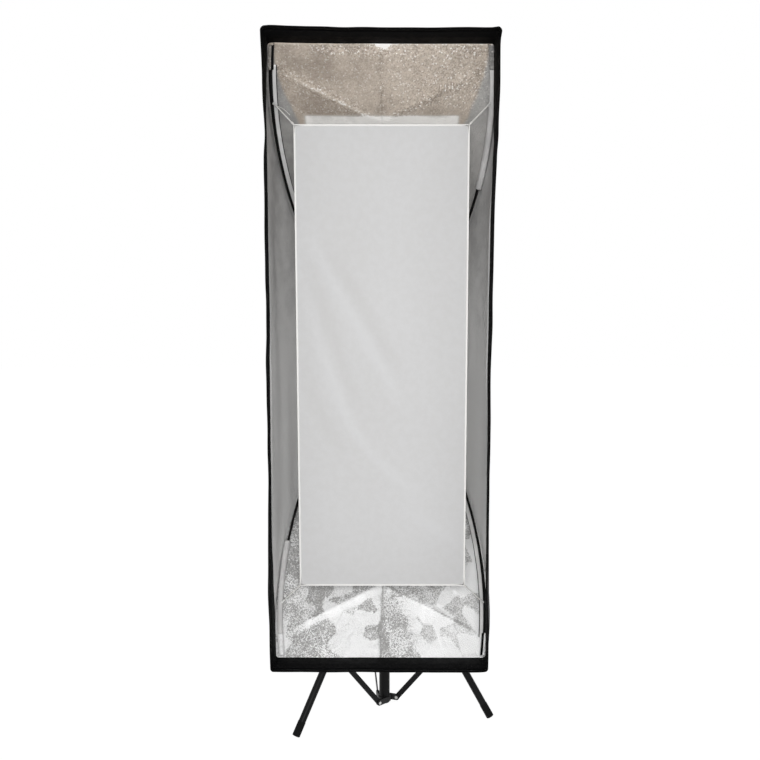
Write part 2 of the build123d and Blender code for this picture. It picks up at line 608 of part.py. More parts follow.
def lug_sectors(arc, turn, front, rear):
    """Three wedges round the optical axis, as wide as the lugs."""
    reach = 2 * HEAD_RING_RADIUS
    half = math.radians(arc / 2)
    corner = (reach * math.cos(half), reach * math.sin(half))
    wedge = Polygon((0, 0), corner, (corner[0], -corner[1]), align=None)
    wedges = [Rot(0, 0, turn + 360 / LUG_COUNT * i) * wedge for i in range(LUG_COUNT)]
    return Pos(0, front, AXIS_Z) * Rot(-90, 0, 0) * extrude(Sketch() + wedges, rear - front)


def catch_frame():
    """Frame on the bayonet catch's axis, whose local Z points out of the ring."""
    y = HEAD_FRONT_Y + HEAD_TAB_THICKNESS + HEAD_SEAT_DEPTH / 2
    return Pos(0, y, AXIS_Z) * Rot(0, -CATCH_ANGLE, 0)


def release_catch():
    """Sprung pin that locks the bayonet, pulled out by its button."""
    tip = COLLAR_RADIUS + OPEN_GAP + CATCH_REACH
    button_base = HEAD_RING_RADIUS + PASSING
    pin = Pos(0, 0, tip) * Cylinder(CATCH_DIAMETER / 2, button_base + JOIN - tip, align=BOTTOM)
    button = Cylinder(CATCH_BUTTON_DIAMETER / 2, CATCH_BUTTON_LENGTH, align=BOTTOM)
    button = fillet(button.faces().sort_by(Axis.Z)[-1].edges(), HEAD_ROUNDING)
    return catch_frame() * (pin + Pos(0, 0, button_base) * button)


def lower_jaw_plate():
    half = JAW_PLATE_HALF_WIDTH
    low = LOWER_SHELF_Z + SHELF_THICKNESS
    y_range = (JAW_PLATE_Y - JAW_PLATE_HALF_DEPTH, JAW_PLATE_Y + JAW_PLATE_HALF_DEPTH)
    return block((-half, half), y_range, (low - JOIN, low + JAW_PLATE_THICKNESS))


def jaw_pad(low, ribs_up):
    """Ribbed rubber pad on a jaw."""
    half = JAW_PLATE_HALF_WIDTH - PAD_MARGIN
    depth = JAW_PLATE_HALF_DEPTH - PAD_MARGIN
    pad = block((-half, half), (JAW_PLATE_Y - depth, JAW_PLATE_Y + depth), (low, low + PAD_THICKNESS))
    face_z = low + PAD_THICKNESS if ribs_up else low
    step = 2 * PAD_RIB_WIDTH
    count = int(2 * half / step)
    for i in range(1, count):
        x = -half + i * 2 * half / count
        pad -= Pos(x, JAW_PLATE_Y, face_z) * Box(PAD_RIB_WIDTH, 2 * depth + JOIN, 2 * PAD_RIB_DEPTH)
    return pad


def lower_jaw_pad():
    return jaw_pad(LOWER_SHELF_Z + SHELF_THICKNESS + JAW_PLATE_THICKNESS, True)


def upper_jaw():
    """Moving jaw: a bar on two guide rods over a flat plate."""
    top = JAW_BAR_Z + JAW_BAR_HEIGHT
    low = JAW_BAR_Z - JAW_PLATE_THICKNESS
    half = JAW_BAR_HALF_WIDTH
    y_range = (GUIDE_Y - JAW_BAR_HALF_DEPTH, GUIDE_Y + JAW_BAR_HALF_DEPTH)
    bar = block((-half, half), y_range, (JAW_BAR_Z, top))
    bar = fillet(bar.edges().filter_by(Axis.Z), JAW_BAR_CORNER)
    width = JAW_PLATE_HALF_WIDTH
    y_range = (JAW_PLATE_Y - JAW_PLATE_HALF_DEPTH, JAW_PLATE_Y + JAW_PLATE_HALF_DEPTH)
    jaw = bar + block((-width, width), y_range, (low, JAW_BAR_Z + JOIN))
    for side in (-1, 1):
        bore = GUIDE_DIAMETER + 2 * RUNNING
        jaw -= upright(bore, low - JOIN, top + JOIN, side * GUIDE_X, GUIDE_Y)
    seat = top - JAW_SCREW_SEAT - JOIN
    return jaw - upright(JAW_SCREW_DIAMETER + 2 * RUNNING, seat, top + JOIN, 0, GUIDE_Y)


def upper_jaw_pad():
    return jaw_pad(JAW_BAR_Z - JAW_PLATE_THICKNESS - PAD_THICKNESS, False)


def jaw_guide_rods():
    low = LOWER_SHELF_Z + SHELF_THICKNESS / 2
    high = UPPER_SHELF_Z + SHELF_THICKNESS / 2
    return grouped([upright(GUIDE_DIAMETER, low, high, side * GUIDE_X, GUIDE_Y) for side in (-1, 1)])


def jaw_knob():
    """Screw that drives the upper jaw down from the upper shelf."""
    bottom = JAW_BAR_Z + JAW_BAR_HEIGHT - JAW_SCREW_SEAT
    head_base = UPPER_SHELF_Z + SHELF_THICKNESS + JAW_TRAVEL + JAW_KNOB_GAP
    screw = upright(JAW_SCREW_DIAMETER, bottom, head_base + JOIN, 0, GUIDE_Y)
    return screw + Pos(0, GUIDE_Y, head_base) * knob_head(JAW_KNOB_DIAMETER, KNOB_THICKNESS)


def umbrella_lug():
    """Lug beside the arm, bored for an umbrella shaft."""
    wall = UMBRELLA_BORE / 2 + UMBRELLA_WALL
    tube = level(wall, -ARM_REAR, ARM_REAR, UMBRELLA_X, UMBRELLA_Z)
    z_range = [ARM_LOW + height for height in UMBRELLA_LINK]
    link = block((ARM_HALF_WIDTH - JOIN, UMBRELLA_X), (-ARM_REAR, ARM_REAR), z_range)
    reach = ARM_REAR + JOIN
    return tube + (link - level(wall - JOIN, -reach, reach, UMBRELLA_X, UMBRELLA_Z))


# ---------------------------------------------------------------- softbox frame
def mirrored(point, side_x, side_z):
    x, height, depth = point
    return in_box(side_x * x, side_z * height, depth)


def rod_arc(side_x, side_z):
    """Bent line of one rod, from its socket on the speedring to its corner of the rim."""
    middle = [(a + b) / 2 + bow for a, b, bow in zip(ROD_ROOT, ROD_TIP, ROD_BOW)]
    points = [mirrored(point, side_x, side_z) for point in (ROD_ROOT, middle, ROD_TIP)]
    return ThreePointArc(*points)


CORNERS = {
    "top_left": (-1, 1),
    "top_right": (1, 1),
    "bottom_left": (-1, -1),
    "bottom_right": (1, -1),
}
ROD_LENGTH = rod_arc(1, 1).length
SOCKET_SHARE = SOCKET_LENGTH / ROD_LENGTH


def frame_on(start, toward):
    """Frame at a point whose local Z points toward another point."""
    return Plane(origin=start, z_dir=toward - start).location


def rod(side_x, side_z):
    """Bent rod with a moulded cap on its tip."""
    arc = rod_arc(side_x, side_z)
    section = Plane(origin=arc @ 0, z_dir=arc % 0) * Circle(ROD_DIAMETER / 2)
    cap = Cylinder(ROD_CAP_DIAMETER / 2, ROD_CAP_LENGTH + JOIN, align=BOTTOM)
    cap = fillet(cap.faces().sort_by(Axis.Z)[-1].edges(), ROD_CAP_DIAMETER / 3)
    return sweep(section, path=arc) + tip_frame(side_x, side_z) * Pos(0, 0, -JOIN) * cap


def socket_frame(side_x, side_z):
    arc = rod_arc(side_x, side_z)
    return frame_on(arc @ 0, arc @ SOCKET_SHARE)


def rod_socket(side_x, side_z):
    """Boss round the rod's root, with its foot and a web to the ring plate."""
    plate_front = RIM_Y + RING_PLATE_DEPTH
    root_x, root_z = side_x * ROD_ROOT[0], side_z * ROD_ROOT[1]
    boss = Pos(0, 0, -SOCKET_WALL) * Cylinder(SOCKET_DIAMETER / 2, SOCKET_LENGTH, align=BOTTOM)
    foot_radius = SOCKET_FOOT_DIAMETER / 2
    foot = level(foot_radius, RIM_Y + ROD_ROOT[2], RING_PLATE_REAR_Y, root_x, AXIS_Z + root_z)
    reach = (RING_PLATE_BORE_RADIUS + SOCKET_WEB_START, math.hypot(root_x, root_z))
    web = block(reach, (0, RING_PLATE_THICKNESS), (-SOCKET_DIAMETER / 2, SOCKET_DIAMETER / 2))
    turn = Rot(0, -math.degrees(math.atan2(root_z, root_x)), 0)
    return Pos(0, plate_front, AXIS_Z) * turn * web + foot + socket_frame(side_x, side_z) * boss


def speedring():
    """Plate with four rod sockets in front and the bayonet collar behind."""
    plate_front = RIM_Y + RING_PLATE_DEPTH
    ring = level(RING_PLATE_RADIUS, plate_front, RING_PLATE_REAR_Y)
    ring = fillet(ring.edges().filter_by(GeomType.CIRCLE), RING_PLATE_EDGE)
    for corner in CORNERS.values():
        ring += rod_socket(*corner)
    for corner in CORNERS.values():
        bore = Cylinder(ROD_DIAMETER / 2 + SOCKET_PLAY, SOCKET_LENGTH + SOCKET_WALL, align=BOTTOM)
        ring -= socket_frame(*corner) * Pos(0, 0, -PASSING) * bore
        screw_hole = Cylinder(SET_SCREW_DIAMETER / 2 + SEATED, SOCKET_DIAMETER, align=BOTTOM)
        ring -= set_screw_frame(*corner) * screw_hole
    lug_front = HEAD_FRONT_Y + HEAD_TAB_THICKNESS + JOIN
    lug_rear = lug_front + LUG_THICKNESS
    collar_end = lug_rear + JOIN
    ring += level(COLLAR_RADIUS, RING_PLATE_REAR_Y - JOIN, collar_end)
    ring += level(LUG_RADIUS, lug_front, lug_rear) & lug_sectors(LUG_ARC, 0, lug_front - JOIN, collar_end)
    ring -= level(RING_PLATE_BORE_RADIUS, plate_front - JOIN, collar_end + JOIN)
    return ring - level(COLLAR_RADIUS - COLLAR_WALL, RING_PLATE_REAR_Y, collar_end + JOIN)


def set_screw_frame(side_x, side_z):
    """Frame on a set screw's axis, square to the rod, whose local Z points to the front."""
    arc = rod_arc(side_x, side_z)
    along = (arc % 0).normalized()
    outward = Vector(0, -1, 0)
    square = (outward - along * outward.dot(along)).normalized()
    start = arc @ (SOCKET_SHARE / 3) + square * (ROD_DIAMETER / 2 + PASSING)
    return Plane(origin=start, z_dir=square).location


def rod_set_screws():
    screw = Cylinder(SET_SCREW_DIAMETER / 2, SET_SCREW_LENGTH, align=BOTTOM)
    return grouped([set_screw_frame(*corner) * screw for corner in CORNERS.values()])


def tip_frame(side_x, side_z):
    """Frame at a rod's tip whose local Z carries on along the rod."""
    arc = rod_arc(side_x, side_z)
    return Plane(origin=arc @ 1, z_dir=arc % 1).location


def corner_pockets():
    """Webbing sleeve sewn into each corner, round the end of the rod."""
    start = 2 * JOIN - POCKET_LENGTH
    sleeve = Pos(0, 0, start) * Cylinder(POCKET_DIAMETER / 2, POCKET_LENGTH, align=BOTTOM)
    room = Cylinder(ROD_CAP_DIAMETER / 2 + POCKET_ROOM, POCKET_LENGTH + 2 * JOIN, align=BOTTOM)
    sleeve -= Pos(0, 0, start - JOIN) * room
    return grouped([tip_frame(*corner) * sleeve for corner in CORNERS.values()])


# ---------------------------------------------------------------- softbox fabric
def profile(upward, offset, half_rim):
    """Rim, middle and rear points (Y, half size) of an arc that runs outside the rods."""
    arc = rod_arc(1, 1)
    points = [(RIM_Y + LIP_DEPTH, half_rim)]
    for share in (0.5, SHELL_REAR_ARC / ROD_LENGTH):
        place = arc @ share - Vector(0, 0, AXIS_Z)
        along = arc % share
        half = place.Z if upward else place.X
        slope = along.Z if upward else along.X
        scale = offset / math.hypot(along.Y, slope)
        points.append((place.Y + slope * scale, half - along.Y * scale))
    return points


def shell_inside(upward):
    rim = RIM_HEIGHT if upward else RIM_WIDTH
    return profile(upward, SHELL_CLEARANCE, rim / 2 - FABRIC)


def shell_outside(upward):
    rim = RIM_HEIGHT if upward else RIM_WIDTH
    return profile(upward, SHELL_CLEARANCE + FABRIC, rim / 2)


SHELL_REAR_Y = min(shell_inside(upward)[-1][0] for upward in (True, False))


def flipped(points):
    return [(y, -half) for y, half in points]


def between(upward, first, second):
    """Solid between two arcs: heights are drawn on the YZ plane, widths on the XY plane."""

    def spot(point):
        y, half = point
        return (y, AXIS_Z + half) if upward else (half, y)

    curves = [ThreePointArc(*[spot(point) for point in points]) for points in (first, second)]
    ends = [Line(spot(first[end]), spot(second[end])) for end in (0, -1)]
    plane = Plane.YZ if upward else Plane.XY
    return extrude(plane * make_face([*curves, *ends]), 2 * RIM_HEIGHT, both=True)


def shell_panel(upward, side):
    """One curved panel; the top and bottom ones reach over the ends of the side ones."""
    inside, outside = shell_inside(upward), shell_outside(upward)
    if side < 0:
        inside, outside = flipped(inside), flipped(outside)
    across = shell_inside(True) if not upward else shell_outside(False)
    panel = between(upward, inside, outside) & between(not upward, across, flipped(across))
    wide = RIM_HEIGHT
    return panel & block((-wide, wide), (RIM_Y + LIP_DEPTH, SHELL_REAR_Y), (AXIS_Z - wide, AXIS_Z + wide))


def rim_frame(width, height, wall, front, rear, corner):
    """Rectangular band round the optical axis, with rounded corners."""
    outer = RectangleRounded(width, height, corner) if corner else Rectangle(width, height)
    inner_corner = max(corner - wall, 0)
    inner = Rectangle(width - 2 * wall, height - 2 * wall)
    if inner_corner:
        inner = RectangleRounded(width - 2 * wall, height - 2 * wall, inner_corner)
    plane = Plane(origin=(0, RIM_Y + rear, AXIS_Z), x_dir=(1, 0, 0), z_dir=(0, -1, 0))
    return plane * extrude(outer - inner, rear - front)


def front_lip():
    return rim_frame(RIM_WIDTH, RIM_HEIGHT, FABRIC, 0, LIP_DEPTH, LIP_CORNER)


def lip_fastener_strip():
    """Hook-and-loop band inside the lip, where a front diffuser would be pressed on."""
    shrink = 2 * (FABRIC + SEATED)
    rear = FASTENER_DEPTH + FASTENER_WIDTH
    corner = LIP_CORNER - FABRIC
    width, height = RIM_WIDTH - shrink, RIM_HEIGHT - shrink
    return rim_frame(width, height, FASTENER_THICKNESS, FASTENER_DEPTH, rear, corner)


def rear_cuff():
    """Fabric cap that closes the rear of the shell round the speedring's collar."""
    half_x = shell_inside(False)[-1][1]
    half_z = shell_inside(True)[-1][1]
    wall = FABRIC + CUFF_OVERLAP
    rear = CUFF_REAR_Y
    outer = block((-half_x - wall, half_x + wall), (SHELL_REAR_Y, rear), (-half_z - wall, half_z + wall))
    outer = fillet(outer.edges().filter_by(Axis.Y), CUFF_CORNER)
    inner = block((-half_x, half_x), (SHELL_REAR_Y - JOIN, rear - FABRIC), (-half_z, half_z))
    cap = Pos(0, 0, AXIS_Z) * (outer - inner)
    return cap - level(COLLAR_RADIUS + OPEN_GAP, rear - FABRIC - JOIN, rear + JOIN)


def inner_baffle():
    """Translucent white panel across the box, hung from its corners."""
    half_x, half_z = BAFFLE_WIDTH / 2, BAFFLE_HEIGHT / 2
    front = RIM_Y + BAFFLE_DEPTH
    return block((-half_x, half_x), (front, front + BAFFLE_THICKNESS), (AXIS_Z - half_z, AXIS_Z + half_z))


def baffle_binding():
    front = BAFFLE_DEPTH - BAFFLE_THICKNESS
    return rim_frame(BAFFLE_WIDTH, BAFFLE_HEIGHT, BINDING_WIDTH, front, BAFFLE_DEPTH, 0)


def cord_line(side_x, side_z):
    """Ends of a baffle cord: the baffle's corner, and the rod near the rim."""
    corner = (BAFFLE_WIDTH / 2, BAFFLE_HEIGHT / 2, BAFFLE_DEPTH + BAFFLE_THICKNESS / 2)
    return mirrored(corner, side_x, side_z), rod_arc(side_x, side_z) @ CORD_ANCHOR


def cord_span(side_x, side_z):
    """Frame at the baffle's corner along the cord, and the length left for the cord."""
    start, anchor = cord_line(side_x, side_z)
    along = (anchor - start).normalized()
    lean = abs(along.dot((rod_arc(side_x, side_z) % CORD_ANCHOR).normalized()))
    clear = (ROD_DIAMETER / 2 + HOOK_GAP + HOOK_DIAMETER / 2 * lean) / math.sqrt(1 - lean**2)
    return frame_on(start, anchor), (anchor - start).length - clear - HOOK_LENGTH


def baffle_cords():
    """Four stretched elastic cords."""
    cords = []
    for corner in CORNERS.values():
        frame, free = cord_span(*corner)
        cord = Pos(0, 0, PASSING) * Cylinder(CORD_DIAMETER / 2, free - PASSING, align=BOTTOM)
        cords.append(frame * cord)
    return grouped(cords)


def cord_hooks():
    """Hook at the end of each cord, beside its rod."""
    hooks = []
    for corner in CORNERS.values():
        frame, free = cord_span(*corner)
        hook = Cylinder(HOOK_DIAMETER / 2, HOOK_LENGTH, align=BOTTOM)
        hook = fillet(hook.edges().filter_by(GeomType.CIRCLE), HOOK_EDGE)
        hooks.append(frame * Pos(0, 0, free) * hook)
    return grouped(hooks)


# ---------------------------------------------------------------- sub-parts
save("base_column_tube", base_column_tube())
save("column_end_plug", column_end_plug())
save("brace_collar", brace_collar())
save("brace_pivot_pins", brace_pivot_pins())
save("base_lock_collar", lock_collar(BASE_TUBE, MID_TUBE, BASE_TUBE_HIGH))
save("base_lock_knob", lock_knob(MID_TUBE, BASE_TUBE_HIGH))
save("leg_collar", leg_collar())
save("leg_pivot_pins", leg_pivot_pins())
save("leg_collar_knob", leg_collar_knob())
for name, azimuth in LEG_AZIMUTHS.items():
    turn = Rot(0, 0, azimuth)
    save(f"leg_tube_{name}", turn * leg_tube())
    save(f"leg_foot_{name}", turn * leg_foot())
    save(f"leg_head_{name}", turn * leg_head())
    save(f"brace_clip_{name}", turn * brace_clip())
    save(f"brace_{name}", turn * brace())
save("mid_column_tube", pipe(MID_TUBE, MID_TUBE - 2 * TUBE_WALL, MID_TUBE_LOW, MID_TUBE_HIGH))
save("mid_lock_collar", lock_collar(MID_TUBE, TOP_TUBE, MID_TUBE_HIGH))
save("mid_lock_knob", lock_knob(TOP_TUBE, MID_TUBE_HIGH))
save("top_column_tube", pipe(TOP_TUBE, TOP_TUBE - 2 * TUBE_WALL, TOP_TUBE_LOW, TOP_TUBE_HIGH))
save("spigot", spigot())
save("stand_socket", stand_socket())
save("socket_knob", socket_knob())
save("tilt_bolt", tilt_bolt())
save("tilt_lever", tilt_lever())
save("bracket_ring", bracket_ring())
save("bracket_arm", bracket_arm())
save("jaw_shelves", grouped([lower_shelf(), upper_shelf()]))
save("jaw_guide_rods", jaw_guide_rods())
save("lower_jaw_pad", lower_jaw_pad())
save("upper_jaw", upper_jaw())
save("upper_jaw_pad", upper_jaw_pad())
save("jaw_knob", jaw_knob())
save("release_catch", release_catch())
save("speedring", speedring())
save("rod_set_screws", rod_set_screws())
for name, corner in CORNERS.items():
    save(f"rod_{name}", rod(*corner))
save("corner_pockets", corner_pockets())
save("shell_top", shell_panel(True, 1))
save("shell_bottom", shell_panel(True, -1))
save("shell_left", shell_panel(False, -1))
save("shell_right", shell_panel(False, 1))
save("front_lip", front_lip())
save("lip_fastener_strip", lip_fastener_strip())
save("rear_cuff", rear_cuff())
save("inner_baffle", inner_baffle())
save("baffle_binding", baffle_binding())
save("baffle_cords", baffle_cords())
save("cord_hooks", cord_hooks())
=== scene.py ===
import math

import bmesh
import bpy
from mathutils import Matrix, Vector, noise


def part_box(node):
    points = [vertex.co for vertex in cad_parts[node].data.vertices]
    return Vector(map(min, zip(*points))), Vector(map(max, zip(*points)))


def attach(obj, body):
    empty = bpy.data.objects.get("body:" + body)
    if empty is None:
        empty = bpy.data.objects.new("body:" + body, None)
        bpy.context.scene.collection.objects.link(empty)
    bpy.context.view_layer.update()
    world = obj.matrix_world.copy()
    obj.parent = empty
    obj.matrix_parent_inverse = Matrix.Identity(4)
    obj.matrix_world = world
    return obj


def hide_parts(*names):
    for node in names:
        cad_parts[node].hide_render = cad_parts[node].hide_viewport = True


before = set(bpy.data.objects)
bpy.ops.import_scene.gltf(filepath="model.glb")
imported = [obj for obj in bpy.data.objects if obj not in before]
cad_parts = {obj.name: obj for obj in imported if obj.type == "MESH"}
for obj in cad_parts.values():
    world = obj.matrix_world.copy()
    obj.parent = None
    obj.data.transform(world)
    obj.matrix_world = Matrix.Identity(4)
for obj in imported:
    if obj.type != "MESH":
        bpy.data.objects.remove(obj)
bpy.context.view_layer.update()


# ---------------------------------------------------------------- column and leg tubes
# Drawn steel tubes in satin black powder coat: three that telescope in the column and one in each leg.
# The coat has a fine orange peel, and the sliding tubes are rubbed along their length by the collars.
def node(tree, kind, inputs=None, **settings):
    """Add a shader node. Sockets given in inputs are linked, and other values are set."""
    made = tree.nodes.new("ShaderNode" + kind)
    for key, value in settings.items():
        setattr(made, key, value)
    for key, value in (inputs or {}).items():
        if isinstance(value, bpy.types.NodeSocket):
            tree.links.new(value, made.inputs[key])
        else:
            made.inputs[key].default_value = value
    return made


def calc(tree, operation, first, second=0.0, third=0.0):
    """One step of arithmetic on shader values."""
    return node(tree, "Math", {0: first, 1: second, 2: third}, operation=operation).outputs[0]


def ramp(tree, value, low, high, to_low=0.0, to_high=1.0):
    """A value carried smoothly from one range to another."""
    inputs = {"Value": value, "From Min": low, "From Max": high, "To Min": to_low, "To Max": to_high}
    return node(tree, "MapRange", inputs, interpolation_type="SMOOTHSTEP").outputs["Result"]


def tint(tree, amount, first, second):
    """A colour between two others."""
    made = node(tree, "Mix", data_type="RGBA")
    for key, value in ((0, amount), (6, first), (7, second)):
        if isinstance(value, bpy.types.NodeSocket):
            tree.links.new(value, made.inputs[key])
        else:
            made.inputs[key].default_value = value
    return made.outputs[2]


def cloudy(tree, place, scale, detail, roughness):
    """A noise value at a place, scale times a metre."""
    inputs = {"Vector": place, "Scale": scale, "Detail": detail, "Roughness": roughness}
    return node(tree, "TexNoise", inputs).outputs["Fac"]


def effect(name, inputs, outputs):
    """Start a surface effect: a node group with named inputs (type, value) and outputs (type)."""
    tree = bpy.data.node_groups.new(name, "ShaderNodeTree")
    for label, (kind, value) in inputs.items():
        socket = tree.interface.new_socket(label, in_out="INPUT", socket_type="NodeSocket" + kind)
        if value is not None:
            socket.default_value = value
    for label, kind in outputs.items():
        tree.interface.new_socket(label, in_out="OUTPUT", socket_type="NodeSocket" + kind)
    return tree, tree.nodes.new("NodeGroupInput").outputs, tree.nodes.new("NodeGroupOutput").inputs


def apply_effect(tree, group, **inputs):
    """Place an effect in a material and set its inputs by name, with _ for a space."""
    made = tree.nodes.new("ShaderNodeGroup")
    made.node_tree = group
    for key, value in inputs.items():
        socket = made.inputs[key.replace("_", " ")]
        if isinstance(value, bpy.types.NodeSocket):
            tree.links.new(value, socket)
        else:
            socket.default_value = value
    return made.outputs


def finish_of(name, roughness, metallic=0.0, specular=0.5):
    """Start a material. Returns it with its tree, its shader's inputs and its object coordinates."""
    made = bpy.data.materials.new(name)
    made.use_nodes = True
    tree = made.node_tree
    shader = tree.nodes["Principled BSDF"].inputs
    shader["Roughness"].default_value = roughness
    shader["Metallic"].default_value = metallic
    shader["Specular IOR Level"].default_value = specular
    return made, tree, shader, tree.nodes.new("ShaderNodeTexCoord").outputs["Object"]


def relief(tree, shader, height, depth, strength=1.0):
    """Raise the surface by a height map, depth metres from lowest to highest."""
    bump = node(tree, "Bump", {"Height": height, "Distance": depth, "Strength": strength})
    tree.links.new(bump.outputs["Normal"], shader["Normal"])


def grain_effect():
    """Fine peel or cast grain: Height for relief, Tone for slow changes of colour."""
    tree, given, made = effect(
        "grain",
        {"Place": ("Vector", None), "Grains per metre": ("Float", 900.0), "Patch per metre": ("Float", 14.0)},
        {"Height": "Float", "Tone": "Float"},
    )
    fine = cloudy(tree, given["Place"], given["Grains per metre"], 2.0, 0.55)
    broad = cloudy(tree, given["Place"], given["Patch per metre"], 3.0, 0.6)
    tree.links.new(fine, made["Height"])
    tree.links.new(ramp(tree, broad, 0.35, 0.68), made["Tone"])
    return tree


def rubbing_effect():
    """Fine lengthwise scuffs along Z, as a mask from 0 to 1."""
    tree, given, made = effect(
        "rubbing",
        {"Place": ("Vector", None), "Amount": ("Float", 0.3), "Streak": ("Float", 0.05)},
        {"Mask": "Float"},
    )
    squeeze = node(tree, "CombineXYZ", {"X": 1.0, "Y": 1.0, "Z": given["Streak"]})
    drawn = node(tree, "VectorMath", {0: given["Place"], 1: squeeze.outputs[0]}, operation="MULTIPLY")
    fine = ramp(tree, cloudy(tree, drawn.outputs[0], 520.0, 3.0, 0.7), 0.56, 0.74)
    broad = ramp(tree, cloudy(tree, given["Place"], 19.0, 2.0, 0.6), 0.42, 0.66)
    worn = calc(tree, "MULTIPLY", calc(tree, "MULTIPLY", fine, broad), given["Amount"])
    tree.links.new(worn, made["Mask"])
    return tree


GRAIN = grain_effect()
RUBBING = rubbing_effect()


def coated(name, colour, worn_colour, roughness, grains, depth, rub=0.0, metallic=0.0, specular=0.5):
    """Paint, coat or moulded plastic: grain, slow changes of gloss, and scuffs that show worn_colour."""
    made, tree, shader, place = finish_of(name, roughness, metallic, specular)
    grain = apply_effect(tree, GRAIN, Place=place, Grains_per_metre=grains)
    scuffs = apply_effect(tree, RUBBING, Place=place, Amount=rub)["Mask"]
    lighter = tuple(min(1.0, part * 1.5 + 0.002) for part in colour[:3]) + (1,)
    body = tint(tree, grain["Tone"], colour, lighter)
    tree.links.new(tint(tree, scuffs, body, worn_colour), shader["Base Color"])
    gloss = ramp(tree, grain["Tone"], 0.0, 1.0, roughness - 0.05, roughness + 0.07)
    tree.links.new(calc(tree, "SUBTRACT", gloss, calc(tree, "MULTIPLY", scuffs, 0.2)), shader["Roughness"])
    relief(tree, shader, grain["Height"], depth)
    return made


def wear(material, *names):
    """Give a CAD node its finish."""
    for name in names:
        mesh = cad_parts[name].data
        mesh.materials.clear()
        mesh.materials.append(material)


SIDES = ("left", "right", "rear")
tube_black = (0.0025, 0.0025, 0.0028, 1)
coat_edge = (0.022, 0.022, 0.023, 1)
powder_coat = coated("powder_coat", tube_black, coat_edge, 0.42, 1500.0, 0.00006, rub=0.25, specular=0.12)
wear(powder_coat, "base_column_tube", "mid_column_tube", "top_column_tube")
wear(powder_coat, *[f"leg_tube_{side}" for side in SIDES])


# ---------------------------------------------------------------- collars, clips and leg heads
# Glass-filled nylon mouldings in spark-eroded black, pressed or pinned on the tubes, and the leg collar
# that slides with the legs. The plug that closes the column's foot is of the same nylon.
nylon_black = (0.0060, 0.0060, 0.0065, 1)
nylon_rub = (0.034, 0.034, 0.036, 1)
moulded = coated("moulded_nylon", nylon_black, nylon_rub, 0.52, 2100.0, 0.00012, rub=0.15, specular=0.28)
wear(moulded, "column_end_plug", "brace_collar", "base_lock_collar", "leg_collar", "mid_lock_collar")
wear(moulded, "stand_socket", "bracket_ring", "bracket_arm", "jaw_shelves", "upper_jaw", "release_catch")
wear(moulded, *[f"leg_head_{side}" for side in SIDES], *[f"brace_clip_{side}" for side in SIDES])


# ---------------------------------------------------------------- hand knobs and tilt lever
# Six-lobed knobs and the lever, moulded in a slightly glossier black over their steel screws.
knob_black = (0.0075, 0.0075, 0.0080, 1)
knob_rub = (0.060, 0.060, 0.062, 1)
knob_plastic = coated("knob_plastic", knob_black, knob_rub, 0.38, 1300.0, 0.00008, rub=0.3, specular=0.35)
wear(knob_plastic, "base_lock_knob", "leg_collar_knob", "mid_lock_knob", "socket_knob")
wear(knob_plastic, "tilt_lever", "jaw_knob")


# ---------------------------------------------------------------- braces
# Flat steel bars, painted black with the legs. The paint is scuffed through to the steel in places.
brace_black = (0.0045, 0.0045, 0.0050, 1)
brace_steel = (0.22, 0.22, 0.22, 1)
brace_paint = coated("brace_paint", brace_black, brace_steel, 0.42, 1200.0, 0.00005, rub=0.3, specular=0.12)
wear(brace_paint, *[f"brace_{side}" for side in SIDES])


# ---------------------------------------------------------------- rivets, pins, screws, spigot and guide rods
# Turned and drawn steel, bright zinc plated, with fine turning lines and a few dull patches.
zinc = (0.56, 0.56, 0.55, 1)
zinc_dull = (0.36, 0.36, 0.35, 1)


def plated(name, bright, dull, roughness):
    """Zinc plate: bright metal with duller patches and fine lines."""
    made, tree, shader, place = finish_of(name, roughness, metallic=1.0)
    grain = apply_effect(tree, GRAIN, Place=place, Grains_per_metre=2600.0, Patch_per_metre=60.0)
    lines = apply_effect(tree, RUBBING, Place=place, Amount=1.0, Streak=40.0)["Mask"]
    tree.links.new(tint(tree, grain["Tone"], bright, dull), shader["Base Color"])
    gloss = ramp(tree, grain["Tone"], 0.0, 1.0, roughness - 0.06, roughness + 0.12)
    tree.links.new(gloss, shader["Roughness"])
    relief(tree, shader, calc(tree, "ADD", grain["Height"], lines), 0.00003)
    return made


zinc_plate = plated("zinc_plate", zinc, zinc_dull, 0.30)
wear(zinc_plate, "brace_pivot_pins", "leg_pivot_pins", "spigot", "tilt_bolt")
wear(zinc_plate, "jaw_guide_rods", "rod_set_screws")


# ---------------------------------------------------------------- feet and jaw pads
# Moulded rubber: a dusty matt black with a slight mottle.
rubber_black = (0.0040, 0.0040, 0.0040, 1)
rubber_dust = (0.035, 0.033, 0.031, 1)
rubber = coated("rubber", rubber_black, rubber_dust, 0.78, 800.0, 0.00015, rub=0.15, specular=0.1)
wear(rubber, "lower_jaw_pad", "upper_jaw_pad", *[f"leg_foot_{side}" for side in SIDES])


# ---------------------------------------------------------------- speedring and rods
# The speedring is a machined aluminium casting, anodised grey. The rods are black spring steel.
cast_grey = (0.20, 0.20, 0.205, 1)
cast_bright = (0.42, 0.42, 0.42, 1)
casting = coated("casting", cast_grey, cast_bright, 0.42, 1400.0, 0.00008, rub=0.5, metallic=0.9)
wear(casting, "speedring")
rod_black = (0.0030, 0.0030, 0.0030, 1)
rod_scuff = (0.10, 0.10, 0.10, 1)
rod_steel = coated("rod_steel", rod_black, rod_scuff, 0.35, 1100.0, 0.00003, rub=0.15, specular=0.12)
CORNERS = {"top_left": (-1, 1), "top_right": (1, 1), "bottom_left": (-1, -1), "bottom_right": (1, -1)}
wear(rod_steel, *[f"rod_{corner}" for corner in CORNERS])


